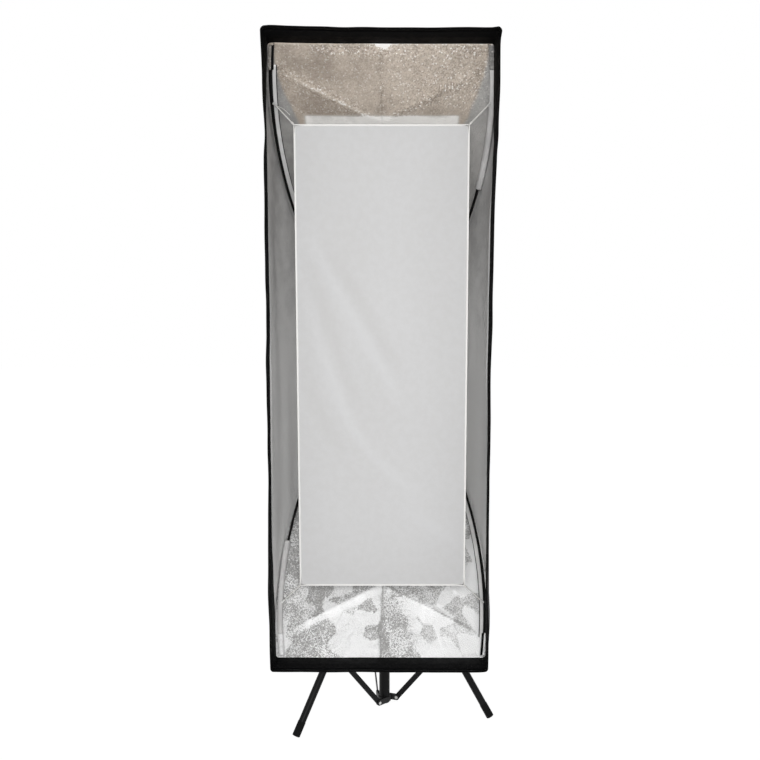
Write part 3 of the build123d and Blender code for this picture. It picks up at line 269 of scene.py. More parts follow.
# ---------------------------------------------------------------- four shell panels
# Each side of the box is one panel of black coated nylon, laminated inside to embossed silver film.
# The panels are cut as curved trapezia and sewn along the corners, where the rods hold them out.
AXIS_Z = (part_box("front_lip")[0].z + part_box("front_lip")[1].z) / 2
SHELL_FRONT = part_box("shell_top")[0].y
SHELL_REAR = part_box("shell_top")[1].y
SIDE_LINE = ((-0.4370, 0.1985), (-0.24304, 0.18763), (-0.11543, 0.08257))  # depth, half width
TOP_LINE = ((-0.4370, 0.5590), (-0.24029, 0.31224), (-0.11493, 0.08979))  # depth, half height
CLOTH = 0.0012
MM = 0.001


def bow(line):
    """The curve through three points: half size of the box at any depth."""
    (y1, h1), (y2, h2), (y3, h3) = line
    a, b, c, d = 2 * (y2 - y1), 2 * (h2 - h1), 2 * (y3 - y1), 2 * (h3 - h1)
    e, f = y2**2 - y1**2 + h2**2 - h1**2, y3**2 - y1**2 + h3**2 - h1**2
    det = a * d - b * c
    centre_y, centre_h = (e * d - b * f) / det, (a * f - e * c) / det
    radius = math.hypot(y1 - centre_y, h1 - centre_h)
    return lambda y: centre_h + math.sqrt(radius**2 - (y - centre_y) ** 2)


half_width = bow(SIDE_LINE)
half_height = bow(TOP_LINE)


def cloth_length(half, y, steps=24):
    """Length of a panel from the rim back to a depth, measured along its curve."""
    total, step = 0.0, (y - SHELL_FRONT) / steps
    for i in range(steps):
        first, last = SHELL_FRONT + i * step, SHELL_FRONT + (i + 1) * step
        total += math.hypot(step, half(last) - half(first))
    return total


# Heights up the rim, then how far its left and right sides stray to the right: at the front edge and at
# the rear seam of each, in millimetres. Then the same along the top and bottom, straying upwards.
RIM_SIDES = (
    (0.305, -4.3, -5.0, -5.2, -1.0),
    (0.38, -4.0, -5.2, -6.1, -1.5),
    (0.46, -5.4, -7.3, -8.3, -2.2),
    (0.54, -4.0, -9.0, -7.8, -2.6),
    (0.70, -1.2, -8.0, -7.6, -2.9),
    (0.86, -1.6, -7.0, -8.3, -4.6),
    (0.94, 0.4, -5.2, -6.6, -3.9),
    (1.10, -0.2, -5.6, -6.3, -3.1),
    (1.22, 1.4, -5.1, -3.0, -0.6),
    (1.26, 3.3, -5.6, -1.1, 1.0),
    (1.34, 0.2, -5.0, 0.8, -0.5),
    (1.425, -1.0, -1.5, -0.4, -1.0),
)
RIM_ENDS = (
    (-0.2000, 4.5, 1.0, -0.3, -3.4),
    (-0.1900, 6.3, 2.4, -0.3, -3.7),
    (-0.1500, 4.8, 1.5, -0.3, -3.6),
    (-0.1000, 3.6, 0.9, -0.2, -3.8),
    (-0.0500, 2.1, 0.5, -0.3, -3.6),
    (0.1850, 2.3, 0.2, -1.0, -3.9),
    (0.1930, 3.4, 0.4, -0.5, -3.8),
    (0.2010, 0.6, -0.5, 0.0, -3.6),
)


def smooth(low, high, value):
    """0 below low, 1 above high, and smooth between them."""
    t = min(max((value - low) / (high - low), 0.0), 1.0)
    return t * t * (3 - 2 * t)


def stray(table, value, rear):
    """Read the first and second pair of a table at a value, from the front edge to the rear seam."""
    value = min(max(value, table[0][0]), table[-1][0])
    for low, high in zip(table, table[1:]):
        if value <= high[0]:
            share = smooth(low[0], high[0], value)
            row = [a + (b - a) * share for a, b in zip(low, high)]
            break
    return row[1] + (row[2] - row[1]) * rear, row[3] + (row[4] - row[3]) * rear


def drift(x, z, rear):
    """How far the sewn rim strays from true: rear is 0 at its front edge and 1 at its rear seam."""
    left, right = stray(RIM_SIDES, z, rear)
    top, bottom = stray(RIM_ENDS, x, rear)
    across = min(max(x / 0.4 + 0.5, 0), 1)
    up = top * smooth(1.31, 1.415, z) + bottom * smooth(0.42, 0.315, z)
    return Vector((left + (right - left) * across, 0, up)) * MM


def carried(point, y):
    """Carry the rim's drift back into the panels, where it dies away."""
    return Vector(point) + drift(point[0], point[2], 1.0) * smooth(-0.335, SHELL_FRONT, y)


def fold(distance, width):
    """A pressed crease: a sharp line that dies away on both sides."""
    return math.exp(-abs(distance) / width)


def beside(point, start, end):
    """Distance of a point from the line between two others, its sign by side, and its share along it."""
    along = Vector(end) - Vector(start)
    offset = Vector(point) - Vector(start)
    share = offset.dot(along) / along.length_squared
    return (along.x * offset.y - along.y * offset.x) / along.length, share


def cloth_grid(name, columns, rows, place, flip=False, ends=False):
    """Cloth as a grid: place(a, b) gives a point and the cut's own coordinates, in metres."""
    bm = bmesh.new()
    bmesh.ops.create_grid(bm, x_segments=columns, y_segments=rows, size=0.5)
    cut = bm.loops.layers.uv.new("cloth")
    spots = {vert: place(vert.co.x + 0.5, vert.co.y + 0.5) for vert in bm.verts}
    for face in bm.faces:
        for loop in face.loops:
            loop[cut].uv = spots[loop.vert][1]
    for vert, (point, _) in spots.items():
        vert.co = point
    bmesh.ops.remove_doubles(bm, verts=bm.verts, dist=1e-6)
    if ends:
        bmesh.ops.holes_fill(bm, edges=[edge for edge in bm.edges if edge.is_boundary], sides=0)
        bmesh.ops.recalc_face_normals(bm, faces=bm.faces)
    if flip:
        bmesh.ops.reverse_faces(bm, faces=bm.faces)
    return to_piece(name, bm)


def to_piece(name, bm):
    """Turn a finished bmesh into a smooth-shaded object at the origin."""
    mesh = bpy.data.meshes.new(name)
    bm.to_mesh(mesh)
    bm.free()
    mesh.shade_smooth()
    made = bpy.data.objects.new(name, mesh)
    bpy.context.scene.collection.objects.link(made)
    return made


def embossing_effect():
    """Embossed film: small pillowed cells, with a Tone and a Glint that differ from cell to cell. The Glint
    marks cells for a painted highlight.
    """
    tree, given, made = effect(
        "embossing",
        {"Place": ("Vector", None), "Cells per metre": ("Float", 420.0)},
        {"Height": "Float", "Tone": "Float", "Glint": "Float"},
    )
    bent = {"Vector": given["Place"], "Scale": 160.0, "Detail": 1.0}
    shift = node(tree, "TexNoise", bent).outputs["Color"]
    shift = node(tree, "VectorMath", {0: shift, "Scale": 0.0016}, operation="SCALE").outputs[0]
    place = node(tree, "VectorMath", {0: given["Place"], 1: shift}, operation="ADD").outputs[0]
    cells = node(tree, "TexVoronoi", {"Vector": place, "Scale": given["Cells per metre"]})
    shade = node(tree, "SeparateColor", {"Color": cells.outputs["Color"]}).outputs
    tree.links.new(ramp(tree, cells.outputs["Distance"], 0.05, 0.75, 1.0, 0.0), made["Height"])
    tree.links.new(shade["Red"], made["Tone"])
    # Painted highlight: the few cells with the highest green value are marked as glints.
    tree.links.new(ramp(tree, shade["Green"], 0.86, 0.99, 0.0, 0.8), made["Glint"])
    return tree


def weave_effect():
    """Plain weave: rounded warp and weft threads that pass over and under each other."""
    tree, given, made = effect(
        "weave",
        {"Cut": ("Vector", None), "Threads per metre": ("Float", 1100.0)},
        {"Height": "Float", "Tone": "Float"},
    )
    pitch = {0: given["Cut"], "Scale": given["Threads per metre"]}
    scaled = node(tree, "VectorMath", pitch, operation="SCALE")
    axes = node(tree, "SeparateXYZ", {0: scaled.outputs[0]}).outputs
    rounds = []
    for axis in ("X", "Y"):
        share = calc(tree, "FRACT", axes[axis])
        rounds.append(calc(tree, "SINE", calc(tree, "MULTIPLY", share, math.pi)))
    over = node(tree, "TexChecker", {"Vector": scaled.outputs[0], "Scale": 1.0}).outputs["Fac"]
    warp = calc(tree, "MULTIPLY", rounds[0], ramp(tree, rounds[1], 0, 1, 0.55, 1.0))
    weft = calc(tree, "MULTIPLY", rounds[1], ramp(tree, rounds[0], 0, 1, 0.55, 1.0))
    under = calc(tree, "MULTIPLY", weft, calc(tree, "SUBTRACT", 1.0, over))
    crossing = calc(tree, "ADD", calc(tree, "MULTIPLY", warp, over), under)
    tree.links.new(crossing, made["Height"])
    tree.links.new(ramp(tree, cloudy(tree, given["Cut"], 70.0, 4.0, 0.7), 0.3, 0.7), made["Tone"])
    return tree


EMBOSSING = embossing_effect()
WEAVE = weave_effect()


def silver_film(name, dark, light, glint, roughness, metallic, cells=430.0, depth=0.0005, grit=0.34,
                painted_grey=None):
    """Silver lining. The piece's "shade" is painted light and shade that lightens or darkens it,
    and its "spark" is how much it glitters: how strong its grain and its painted glints are.
    """
    made, tree, shader, place = finish_of(name, roughness, metallic)
    film = apply_effect(tree, EMBOSSING, Place=place, Cells_per_metre=cells)
    shade = node(tree, "Attribute", attribute_name="shade").outputs["Fac"]
    spark = node(tree, "Attribute", attribute_name="spark").outputs["Fac"]
    mottle = ramp(tree, cloudy(tree, place, 26.0, 4.0, 0.62), 0.36, 0.66, -0.10, 0.10)
    grain = calc(tree, "MULTIPLY", spark, ramp(tree, film["Tone"], 0, 1, -grit, grit))
    level = calc(tree, "ADD", calc(tree, "ADD", shade, mottle), grain)
    body = tint(tree, ramp(tree, level, 0.0, 1.0), dark, light)
    # Painted shade: where the piece's grey mask is set, the film turns to the grey pair, for facets that the
    # light reaches less.
    if painted_grey:
        aside = node(tree, "Attribute", attribute_name="painted_grey").outputs["Fac"]
        facet = tint(tree, ramp(tree, level, 0.0, 1.0), painted_grey[0], painted_grey[1])
        body = tint(tree, aside, body, facet)
    # Painted highlight: glint cells, and shade levels over 1, are tinted towards the glint colour.
    lit = calc(tree, "MAXIMUM", calc(tree, "MULTIPLY", film["Glint"], spark), ramp(tree, level, 1.0, 1.6))
    tree.links.new(tint(tree, lit, body, glint), shader["Base Color"])
    gloss = ramp(tree, film["Tone"], 0.0, 1.0, roughness - 0.08, roughness + 0.10)
    tree.links.new(gloss, shader["Roughness"])
    relief(tree, shader, film["Height"], depth)
    return made


def stitches_effect():
    """A row of lockstitches along X of the cut, as a mask of raised threads."""
    tree, given, made = effect(
        "stitches",
        {"Cut": ("Vector", None), "Row": ("Float", 0.006), "Stitches per metre": ("Float", 330.0)},
        {"Mask": "Float"},
    )
    axes = node(tree, "SeparateXYZ", {0: given["Cut"]}).outputs
    off = calc(tree, "ABSOLUTE", calc(tree, "SUBTRACT", axes["Y"], given["Row"]))
    share = calc(tree, "FRACT", calc(tree, "MULTIPLY", axes["X"], given["Stitches per metre"]))
    along = calc(tree, "ABSOLUTE", calc(tree, "SUBTRACT", share, 0.5))
    beside_row = ramp(tree, off, 0.00025, 0.00055, 1.0, 0.0)
    thread = calc(tree, "MULTIPLY", beside_row, ramp(tree, along, 0.30, 0.42, 1.0, 0.0))
    tree.links.new(thread, made["Mask"])
    return tree


STITCHES = stitches_effect()


def nylon_cloth(name, colour, thread_light, roughness, threads=1100.0, depth=0.00018, sheen=0.0, rows=(),
                thread=(0.012, 0.012, 0.013, 1), specular=0.05):
    """Woven nylon in the threads of its own cut, with rows of stitches at distances across it."""
    made, tree, shader, _ = finish_of(name, roughness, specular=specular)
    cut = node(tree, "UVMap", uv_map="cloth").outputs[0]
    cloth = apply_effect(tree, WEAVE, Cut=cut, Threads_per_metre=threads)
    mix = calc(tree, "MULTIPLY", cloth["Height"], ramp(tree, cloth["Tone"], 0, 1, 0.5, 1.0))
    body, height = tint(tree, mix, colour, thread_light), cloth["Height"]
    for row in rows:
        sewn = apply_effect(tree, STITCHES, Cut=cut, Row=row)["Mask"]
        body = tint(tree, sewn, body, thread)
        height = calc(tree, "ADD", height, calc(tree, "MULTIPLY", sewn, 2.5))
    tree.links.new(body, shader["Base Color"])
    gloss = ramp(tree, cloth["Tone"], 0.0, 1.0, roughness - 0.06, roughness + 0.06)
    tree.links.new(gloss, shader["Roughness"])
    shader["Sheen Weight"].default_value = sheen
    shader["Sheen Roughness"].default_value = 0.4
    relief(tree, shader, height, depth)
    return made


cloth_black = (0.0006, 0.0006, 0.0007, 1)
cloth_thread = (0.0024, 0.0024, 0.0027, 1)
painted_shadow_nylon = nylon_cloth("painted_shadow_nylon", cloth_black, cloth_thread, 0.66)
outer_black = (0.009, 0.009, 0.0095, 1)
outer_thread = (0.024, 0.024, 0.025, 1)
outer_nylon = nylon_cloth("outer_nylon", outer_black, outer_thread, 0.62, specular=0.15)
# The top, bottom and side films are one silver film, given a colour for each panel by how light falls on it:
# painted light and shade, the top's warm tan a painted reflection of the warm light round it. The grey pair
# is the painted shade of the facets, and the third colour of each film is its painted glint.
painted_grey_colours = ((0.20, 0.195, 0.19, 1), (0.50, 0.49, 0.475, 1))
top_film = silver_film(
    "top_film", (0.26, 0.216, 0.176, 1), (0.565, 0.489, 0.413, 1), (0.94, 0.92, 0.89, 1), 0.50, 0.15,
    painted_grey=painted_grey_colours
)
bottom_film = silver_film(
    "bottom_film", (0.34, 0.335, 0.33, 1), (0.93, 0.93, 0.93, 1), (0.985, 0.985, 0.985, 1), 0.42, 0.12,
    cells=560.0, grit=0.50
)
side_film = silver_film(
    "side_film", (0.55, 0.545, 0.54, 1), (0.97, 0.965, 0.955, 1), (0.97, 0.97, 0.96, 1), 0.55, 0.0,
    depth=0.00008
)


def paint(made, label, values):
    """Store a value from 0 to 1 for each point of the cloth, such as the painted light and shade of its
    folds.
    """
    attribute = made.data.attributes.new(label, "FLOAT", "POINT")
    attribute.data.foreach_set("value", values)


def thicken(made, thickness, offset=0):
    """Give a cloth its thickness: offset 0 grows it both ways, and -1 outwards only."""
    wall = made.modifiers.new("wall", "SOLIDIFY")
    wall.thickness = thickness
    wall.offset = offset
    return wall


def line_panel(made, film):
    """Silver inside and black outside: the grid is the inside, and the wall grows outwards."""
    made.data.materials.append(film)
    made.data.materials.append(outer_nylon)
    wall = thicken(made, CLOTH, -1)
    wall.material_offset = 1
    wall.material_offset_rim = 1


# Two V-shaped creases meet on each of the top and bottom panels' centre folds, where they fold away.
V_APEX_DEPTH = -0.341
V_END = (0.150, -0.392)  # beside the centre fold, depth
# Along this line the panel is creased, and beyond it, on a facet that runs along the rod, the film is painted
# grey shade: depth, distance from the centre.
FACET_LINE = (
    (-0.437, 0.1985), (-0.424, 0.190), (-0.396, 0.1845), (-0.376, 0.175), (-0.35, 0.161), (-0.12, 0.04),
)


def facet_edge(y):
    """How far from the centre the facet starts, at a depth."""
    for (y1, x1), (y2, x2) in zip(FACET_LINE, FACET_LINE[1:]):
        if y <= y2:
            return x1 + (x2 - x1) * (y - y1) / (y2 - y1)
    return FACET_LINE[-1][1]


def crumples(x, y, size, seed):
    """Irregular creases in stiff film, each about one size across."""
    spot = Vector((x / size, y / size, seed))
    return noise.ridged_multi_fractal(spot, 0.9, 2.1, 3, 1.0, 2.0) - 0.9


def facets(x, y, size, seed):
    """Crumpled film: flat facets, each leaning its own way. Gives the height and how far it leans."""
    bend = 0.25 * noise.noise(Vector((x / size * 0.7, y / size * 0.7, seed + 3)))
    spot = Vector(((x + 0.6 * y) / size + bend, (y - 0.2 * x) / size * 1.3 - bend, seed))
    nearest = noise.voronoi(spot)[1][0]
    lean = noise.cell_vector(nearest * 7.3)
    offset = spot - nearest
    return (offset.x * (lean.x - 0.5) + offset.y * (lean.y - 0.5)), lean.z - 0.5


def top_place(side, folds):
    """How the top or bottom panel's points lie: pulled flat at the seams, slack between, and creased."""
    shades, painted_greys = [], []

    def place(a, b):
        y = SHELL_FRONT + (SHELL_REAR - SHELL_FRONT) * b
        half = half_width(y)
        x = (2 * a - 1) * half
        free = (1 - (2 * a - 1) ** 6) * smooth(0, 0.05, b) * smooth(0, 0.05, 1 - b)
        reach = math.copysign(1, x)
        across, share = beside((abs(x), y), (0, V_APEX_DEPTH), V_END)
        crease = fold(across, 0.009) * smooth(1.35, 0.85, share) * smooth(-0.05, 0.0, share)
        behind = smooth(0.0, 0.012, across) * smooth(1.3, 0.8, share)
        sag = 3.2 * (1 - (2 * a - 1) ** 2)
        centre = fold(x, 0.0035)
        soft = noise.noise(Vector((x * 14, y * 14, 3.1 + side)))
        crumpled, tilt = facets(x, y, 0.030, 7.7 + side + reach * 2)
        fine = crumples(x, y, 0.016, 1.7 + side)
        aside = abs(x) - facet_edge(y) + 0.0015 * noise.noise(Vector((x * 3, y * 60, 8.8)))
        push = sag - 1.8 * centre + folds["v"] * crease + folds["soft"] * soft
        push += folds["facet"] * fold(aside, 0.006)
        push += folds["crumple"] * crumpled + folds["fine"] * fine
        inward = push * MM * free
        slope = (half_height(y + MM) - half_height(y - MM)) / (2 * MM)
        scale = inward / math.hypot(1, slope)
        point = (x, y + slope * scale, AXIS_Z + side * (half_height(y) - scale))
        shades.append(dict(
            x=x, y=y, across=across, share=share, behind=behind, crease=crease, centre=centre, lean=tilt,
            fine=fine, soft=soft,
        ))
        # Painted light: a strip just behind the baffle's top edge is marked to be lightened and turned grey,
        # and beyond the facet line the film is marked for grey painted shade.
        painted_light_strip = smooth(-0.352, -0.3485, y + 0.002 * soft) * smooth(0.150, 0.140, abs(x)) if side > 0 else 0
        ragged = aside + 0.003 * noise.noise(Vector((x * 90, y * 90, 1)))
        painted_greys.append(max(smooth(-0.004, 0.005, ragged), painted_light_strip))
        return carried(point, y), (x, cloth_length(half_height, y))

    return place, shades, painted_greys


def top_panel(name, side, columns, rows, folds, film, shade_of, spark_of):
    """The top (side 1) or bottom (side -1) panel, with its film's painted light and shade stored on its
    points.
    """
    place, marks, painted_greys = top_place(side, folds)
    made = cloth_grid(name, columns, rows, place, flip=side > 0)
    paint(made, "shade", [shade_of(**mark) for mark in marks])
    paint(made, "spark", [spark_of(**mark) for mark in marks])
    paint(made, "painted_grey", painted_greys)
    line_panel(made, film)
    return made


def top_shade(x, y, across, share, crease, centre, lean, soft, **_):
    """Painted light and shade on the tan film: lighter to the right, with a painted highlight on the ridge
    left of the centre fold and painted shade on the one right.
    """
    ridge = math.exp(-((across / 0.0022) ** 2)) * smooth(0.05, 0.15, share) * smooth(1.3, 0.9, share)
    # Painted light and shade: darker at the centre fold, and lighter or darker with the soft folds, facets
    # and creases.
    level = 0.50 + 0.12 * soft + 0.04 * lean + 0.20 * smooth(-0.07, 0.05, x) - 0.22 * centre
    level += (0.6 if x < 0 else -0.35) * ridge + 0.10 * crease
    # Painted highlight: a thin bright line along the lip's rear edge.
    level += 0.5 * smooth(-0.4355, -0.4368, y)
    # Painted light on the strip just behind the baffle's top edge.
    painted_light_strip = smooth(-0.352, -0.3485, y + 0.002 * soft) * smooth(0.150, 0.140, abs(x))
    level += 0.95 * painted_light_strip * smooth(-0.33, -0.34, y)
    # Painted highlight: a bright spot at the middle of the lip's rear edge.
    level += 2.4 * math.exp(-(((x - 0.0045) / 0.011) ** 2)) * smooth(-0.428, -0.436, y)
    return level


def top_spark(x, y, across, centre, **_):
    """How much the film glitters, by its grain and painted glints: most in the front right, along the front
    edge and on the V creases.
    """
    right = smooth(-0.03, 0.06, x)
    level = 0.35 + 0.45 * right * smooth(-0.35, -0.37, y)
    level += 0.6 * smooth(-0.418, -0.43, y) * smooth(-0.14, -0.08, x)
    level += 0.7 * math.exp(-((across / 0.006) ** 2)) + 0.25 * centre
    level *= 1 - smooth(-0.352, -0.3485, y)
    return min(level, 1.0) * (1 - 0.5 * smooth(-0.0015, 0.0025, abs(x) - facet_edge(y)))


def bottom_zones(x, y, behind):
    """Shares of the bottom panel's zones of painted light and shade: its dull left band, the part right of
    its fold, and its bright right.
    """
    front = smooth(-0.36, -0.40, y)
    band = math.exp(-(((-x / half_width(y) - 0.66 - 0.25 * (1 - front)) / 0.16) ** 2)) * smooth(0, -0.02, x)
    fold_side = smooth(-0.002, 0.002, x) * smooth(0.075, 0.035, x) * smooth(0.05, 0.2, 1 - 0.6 * behind)
    bright = smooth(0.045, 0.09, x) * (1 - 0.45 * behind)
    return band, fold_side, bright


def bottom_shade(x, y, across, share, behind, centre, lean, fine, soft, **_):
    """Painted light and shade on the silver film: bright and dull patches by how each facet leans, a painted
    highlight on the crease on the left, and painted shade on the one on the right and at the centre fold.
    """
    band, fold_side, bright = bottom_zones(x, y, behind)
    patch = smooth(0.02, 0.10, lean) - smooth(-0.05, -0.20, lean)
    level = 0.62 + 0.26 * patch * (1 - 0.6 * band) + 0.20 * lean + 0.10 * soft + 0.10 * fine
    level += 0.22 * bright - 0.36 * band - 0.10 * fold_side - 0.18 * behind * smooth(0.01, -0.01, x)
    # Painted highlight on the crease left of the fold, and painted shade on the one right of it.
    on_line = smooth(-0.02, 0.02, share) * smooth(1.25, 1.0, share)
    if x < 0:
        level += 0.9 * on_line * smooth(0.0012, -0.0012, across) * smooth(-0.013, -0.006, across)
    else:
        level -= 0.8 * on_line * math.exp(-((across / 0.0016) ** 2))
    return level - 0.75 * centre


def bottom_spark(x, y, behind, lean, **_):
    """How much the film glitters, by its grain and painted glints: the dull patches most."""
    band, fold_side, bright = bottom_zones(x, y, behind)
    dull = smooth(0.25, -0.15, lean)
    level = 0.30 + 0.65 * band + 0.35 * fold_side + 0.45 * dull * (1 - 0.6 * bright) - 0.1 * bright
    return min(max(level, 0.1), 1.0)


def area_of(half, across):
    """Flat area of a panel, from its widths all along its curve."""
    steps, total = 60, 0.0
    for i in range(steps):
        first = SHELL_FRONT + (SHELL_REAR - SHELL_FRONT) * i / steps
        last = SHELL_FRONT + (SHELL_REAR - SHELL_FRONT) * (i + 1) / steps
        total += math.hypot(last - first, half(last) - half(first)) * (across(first) + across(last))
    return total


widest = max(half_width(SHELL_FRONT + i * 0.002) for i in range(100))
top_cut = (2 * widest, cloth_length(half_height, SHELL_REAR))
side_cut = (2 * half_height(SHELL_FRONT), cloth_length(half_width, SHELL_REAR))

top_folds = {"v": 3.0, "soft": 1.6, "crumple": 0.5, "fine": 0.10, "facet": 2.0}
bottom_folds = {"v": 4.5, "soft": 2.2, "crumple": 4.0, "fine": 0.25, "facet": 0.0}
shell_top = top_panel("top_panel", 1, 150, 120, top_folds, top_film, top_shade, top_spark)
shell_bottom = top_panel("bottom_panel", -1, 200, 150, bottom_folds, bottom_film, bottom_shade, bottom_spark)


def side_panel(name, side, seed):
    """A side panel: long soft folds from end to end, and a stitched line just inside each corner."""
    marks = []

    def place(a, b):
        y = SHELL_FRONT + (SHELL_REAR - SHELL_FRONT) * b
        half = half_height(y)
        z = (2 * a - 1) * half
        free = (1 - (2 * a - 1) ** 10) * smooth(0, 0.05, b) * smooth(0, 0.05, 1 - b)
        long_fold = noise.noise(Vector((z * 2.1, y * 19 + z * 1.6, seed)))
        soft = noise.noise(Vector((z * 6, y * 12, seed + 4)))
        stitched = fold(half - abs(z) - 0.012, 0.0022)
        push = 4.0 * (1 - (2 * a - 1) ** 2) + 2.6 * long_fold + 1.2 * soft
        inward = push * MM * free - 0.9 * MM * stitched * smooth(0, 0.03, b)
        slope = (half_width(y + MM) - half_width(y - MM)) / (2 * MM)
        scale = inward / math.hypot(1, slope)
        point = (side * (half_width(y) - scale), y + slope * scale, AXIS_Z + z)
        # Painted light and shade: lighter towards the bottom, lighter or darker with the folds, and painted
        # shade along the stitched line.
        level = 0.95 - 0.95 * z / half_height(SHELL_FRONT) + 0.30 * long_fold + 0.15 * soft
        marks.append(level - 0.5 * stitched)
        return carried(point, y), (z, cloth_length(half_width, y))

    made = cloth_grid(name, 260, 64, place, flip=side < 0)
    paint(made, "shade", marks)
    paint(made, "spark", [0.08] * len(marks))
    line_panel(made, side_film)
    return made


shell_left = side_panel("left_panel", -1, 5.2)
shell_right = side_panel("right_panel", 1, 9.6)
for panel, cad_name, cut, area in (
    (shell_top, "shell_top", top_cut, area_of(half_height, half_width)),
    (shell_bottom, "shell_bottom", top_cut, area_of(half_height, half_width)),
    (shell_left, "shell_left", side_cut, area_of(half_width, half_height)),
    (shell_right, "shell_right", side_cut, area_of(half_width, half_height)),
):
    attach(panel, "softbox")
    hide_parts(cad_name)


# ---------------------------------------------------------------- front lip
# A band of doubled black nylon round the mouth, hemmed at its front edge and sewn to the panels at its
# rear edge. The sewn edges wander a little, and the band sags between the corners.
RIM_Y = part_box("front_lip")[0].y
LIP_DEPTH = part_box("front_lip")[1].y - RIM_Y
HALF_RIM = (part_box("front_lip")[1].x, (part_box("front_lip")[1].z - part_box("front_lip")[0].z) / 2)


def stations(half_x, half_z, corner, step):
    """Points round a rectangle with rounded corners: place, outward direction and length so far."""
    made, length = [], 0.0
    for turn in range(4):
        out = ((1, 0), (0, 1), (-1, 0), (0, -1))[turn]
        on = (-out[1], out[0])
        far, reach = (half_x, half_z) if turn % 2 == 0 else (half_z, half_x)
        reach -= corner
        count = max(2, round(2 * reach / step))
        for i in range(count):
            go = -reach + 2 * reach * i / count
            made.append((out[0] * far + on[0] * go, out[1] * far + on[1] * go, out[0], out[1], length))
            length += 2 * reach / count
        for i in range(6):
            angle = math.pi / 2 * i / 6
            lean = [out[axis] * math.cos(angle) + on[axis] * math.sin(angle) for axis in (0, 1)]
            middle = [out[axis] * (far - corner) + on[axis] * reach for axis in (0, 1)]
            made.append((middle[0] + lean[0] * corner, middle[1] + lean[1] * corner, *lean, length))
            length += corner * math.pi / 12
    return made + [(*made[0][:4], length)]


def section_runs(section):
    """Length along a section up to each of its points, and right round."""
    runs = [0.0]
    for first, last in zip(section, [*section[1:], section[0]]):
        runs.append(runs[-1] + math.hypot(last[0] - first[0], last[1] - first[1]))
    return runs


def band(name, half_x, half_z, corner, section, bend, step=0.009):
    """Carry a closed section, of depths and insets, round a rectangle. bend moves each point."""
    round_it = stations(half_x, half_z, corner, step)
    runs = section_runs(section)

    def place(a, b):
        x, z, out_x, out_z, length = round_it[round(a * (len(round_it) - 1))]
        row = round(b * len(section))
        depth, inset = section[row % len(section)]
        return bend(x - out_x * inset, z - out_z * inset, depth), (length, runs[row])

    made = cloth_grid(name, len(round_it) - 1, len(section), place)
    bm = bmesh.new()
    bm.from_mesh(made.data)
    bmesh.ops.recalc_face_normals(bm, faces=bm.faces)
    bm.to_mesh(made.data)
    bm.free()
    return made


def in_millimetres(section):
    """A section given in millimetres, in metres."""
    return [(depth * MM, inset * MM) for depth, inset in section]


LIP_SECTION = in_millimetres((
    (72.2, 0.4), (70.0, -0.1), (66.5, -0.1), (65.6, 0.35), (64.7, 0.1), (55.0, 0.25), (40.0, 0.25),
    (25.0, 0.25), (12.0, 0.2), (9.0, 0.15), (8.1, 0.6), (7.2, -0.05), (4.0, -0.1), (1.5, 0.1), (0.4, 0.7),
    (0.0, 1.5), (0.4, 2.2), (1.5, 2.7), (4.0, 2.9), (7.2, 2.85), (8.1, 2.3), (9.0, 1.9), (12.0, 1.8),
    (25.0, 1.75), (40.0, 1.75), (55.0, 1.75), (64.7, 1.8), (65.6, 1.5), (66.5, 1.8), (70.0, 1.8), (72.2, 1.6),
))
LIP_CORNER = 0.006


def rim_bend(x, z, depth):
    """Place a point of the rim: the hem wanders most, the rear seam least, and one corner stands out."""
    share = min(depth / LIP_DEPTH, 1.0)
    free = 1 - share
    wander = Vector((noise.noise(Vector((z * 17, 2.2, x * 9))), 0, noise.noise(Vector((x * 17, 5.1, z * 9)))))
    belly = math.sin(math.pi * share) * noise.noise(Vector((x * 13, 7.7, z * 13))) * 0.0012
    ear = math.exp(-((x - 0.2) ** 2 + (z - HALF_RIM[1]) ** 2) / 0.013**2) * free
    point = Vector((x, RIM_Y + depth, AXIS_Z + z)) + drift(x, AXIS_Z + z, share)
    point += wander * 0.0011 * (0.35 + 0.65 * free) + Vector((0.003 * ear, 0, 0.001 * ear))
    side = abs(x) / HALF_RIM[0] > abs(z) / HALF_RIM[1]
    point += Vector((math.copysign(belly, x), 0, 0)) if side else Vector((0, 0, math.copysign(belly, z)))
    return point


lip_runs = section_runs(LIP_SECTION)
lip_nylon = nylon_cloth(
    "lip_nylon", cloth_black, cloth_thread, 0.66, rows=(lip_runs[3], lip_runs[10], lip_runs[20], lip_runs[27])
)
lip = band("lip", *HALF_RIM, LIP_CORNER, LIP_SECTION, rim_bend)
lip.data.materials.append(lip_nylon)
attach(lip, "softbox")
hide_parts("front_lip")
around = stations(*HALF_RIM, LIP_CORNER, 0.009)[-1][4]


# ---------------------------------------------------------------- loop tape
# Black loop tape, 25 mm wide, sewn inside the lip along both edges. Its pile is soft and a little lighter
# than the nylon, and a front diffuser is pressed onto it.
STRIP_SECTION = in_millimetres((
    (14.0, 1.85), (14.1, 2.9), (15.2, 3.15), (17.0, 3.1), (20.0, 3.3), (26.0, 3.35), (33.0, 3.3), (36.0, 3.1),
    (37.8, 3.15), (38.9, 2.9), (39.0, 1.85),
))
pile_runs = section_runs(STRIP_SECTION)
loop_pile = nylon_cloth(
    "loop_pile", (0.0022, 0.0022, 0.0025, 1), (0.0085, 0.0085, 0.009, 1), 0.85, threads=620.0, depth=0.0006,
    rows=(pile_runs[3], pile_runs[7]), specular=0.04,
)
loop_tape = band("loop_tape", *HALF_RIM, LIP_CORNER, STRIP_SECTION, rim_bend)
loop_tape.data.materials.append(loop_pile)
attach(loop_tape, "softbox")
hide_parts("lip_fastener_strip")


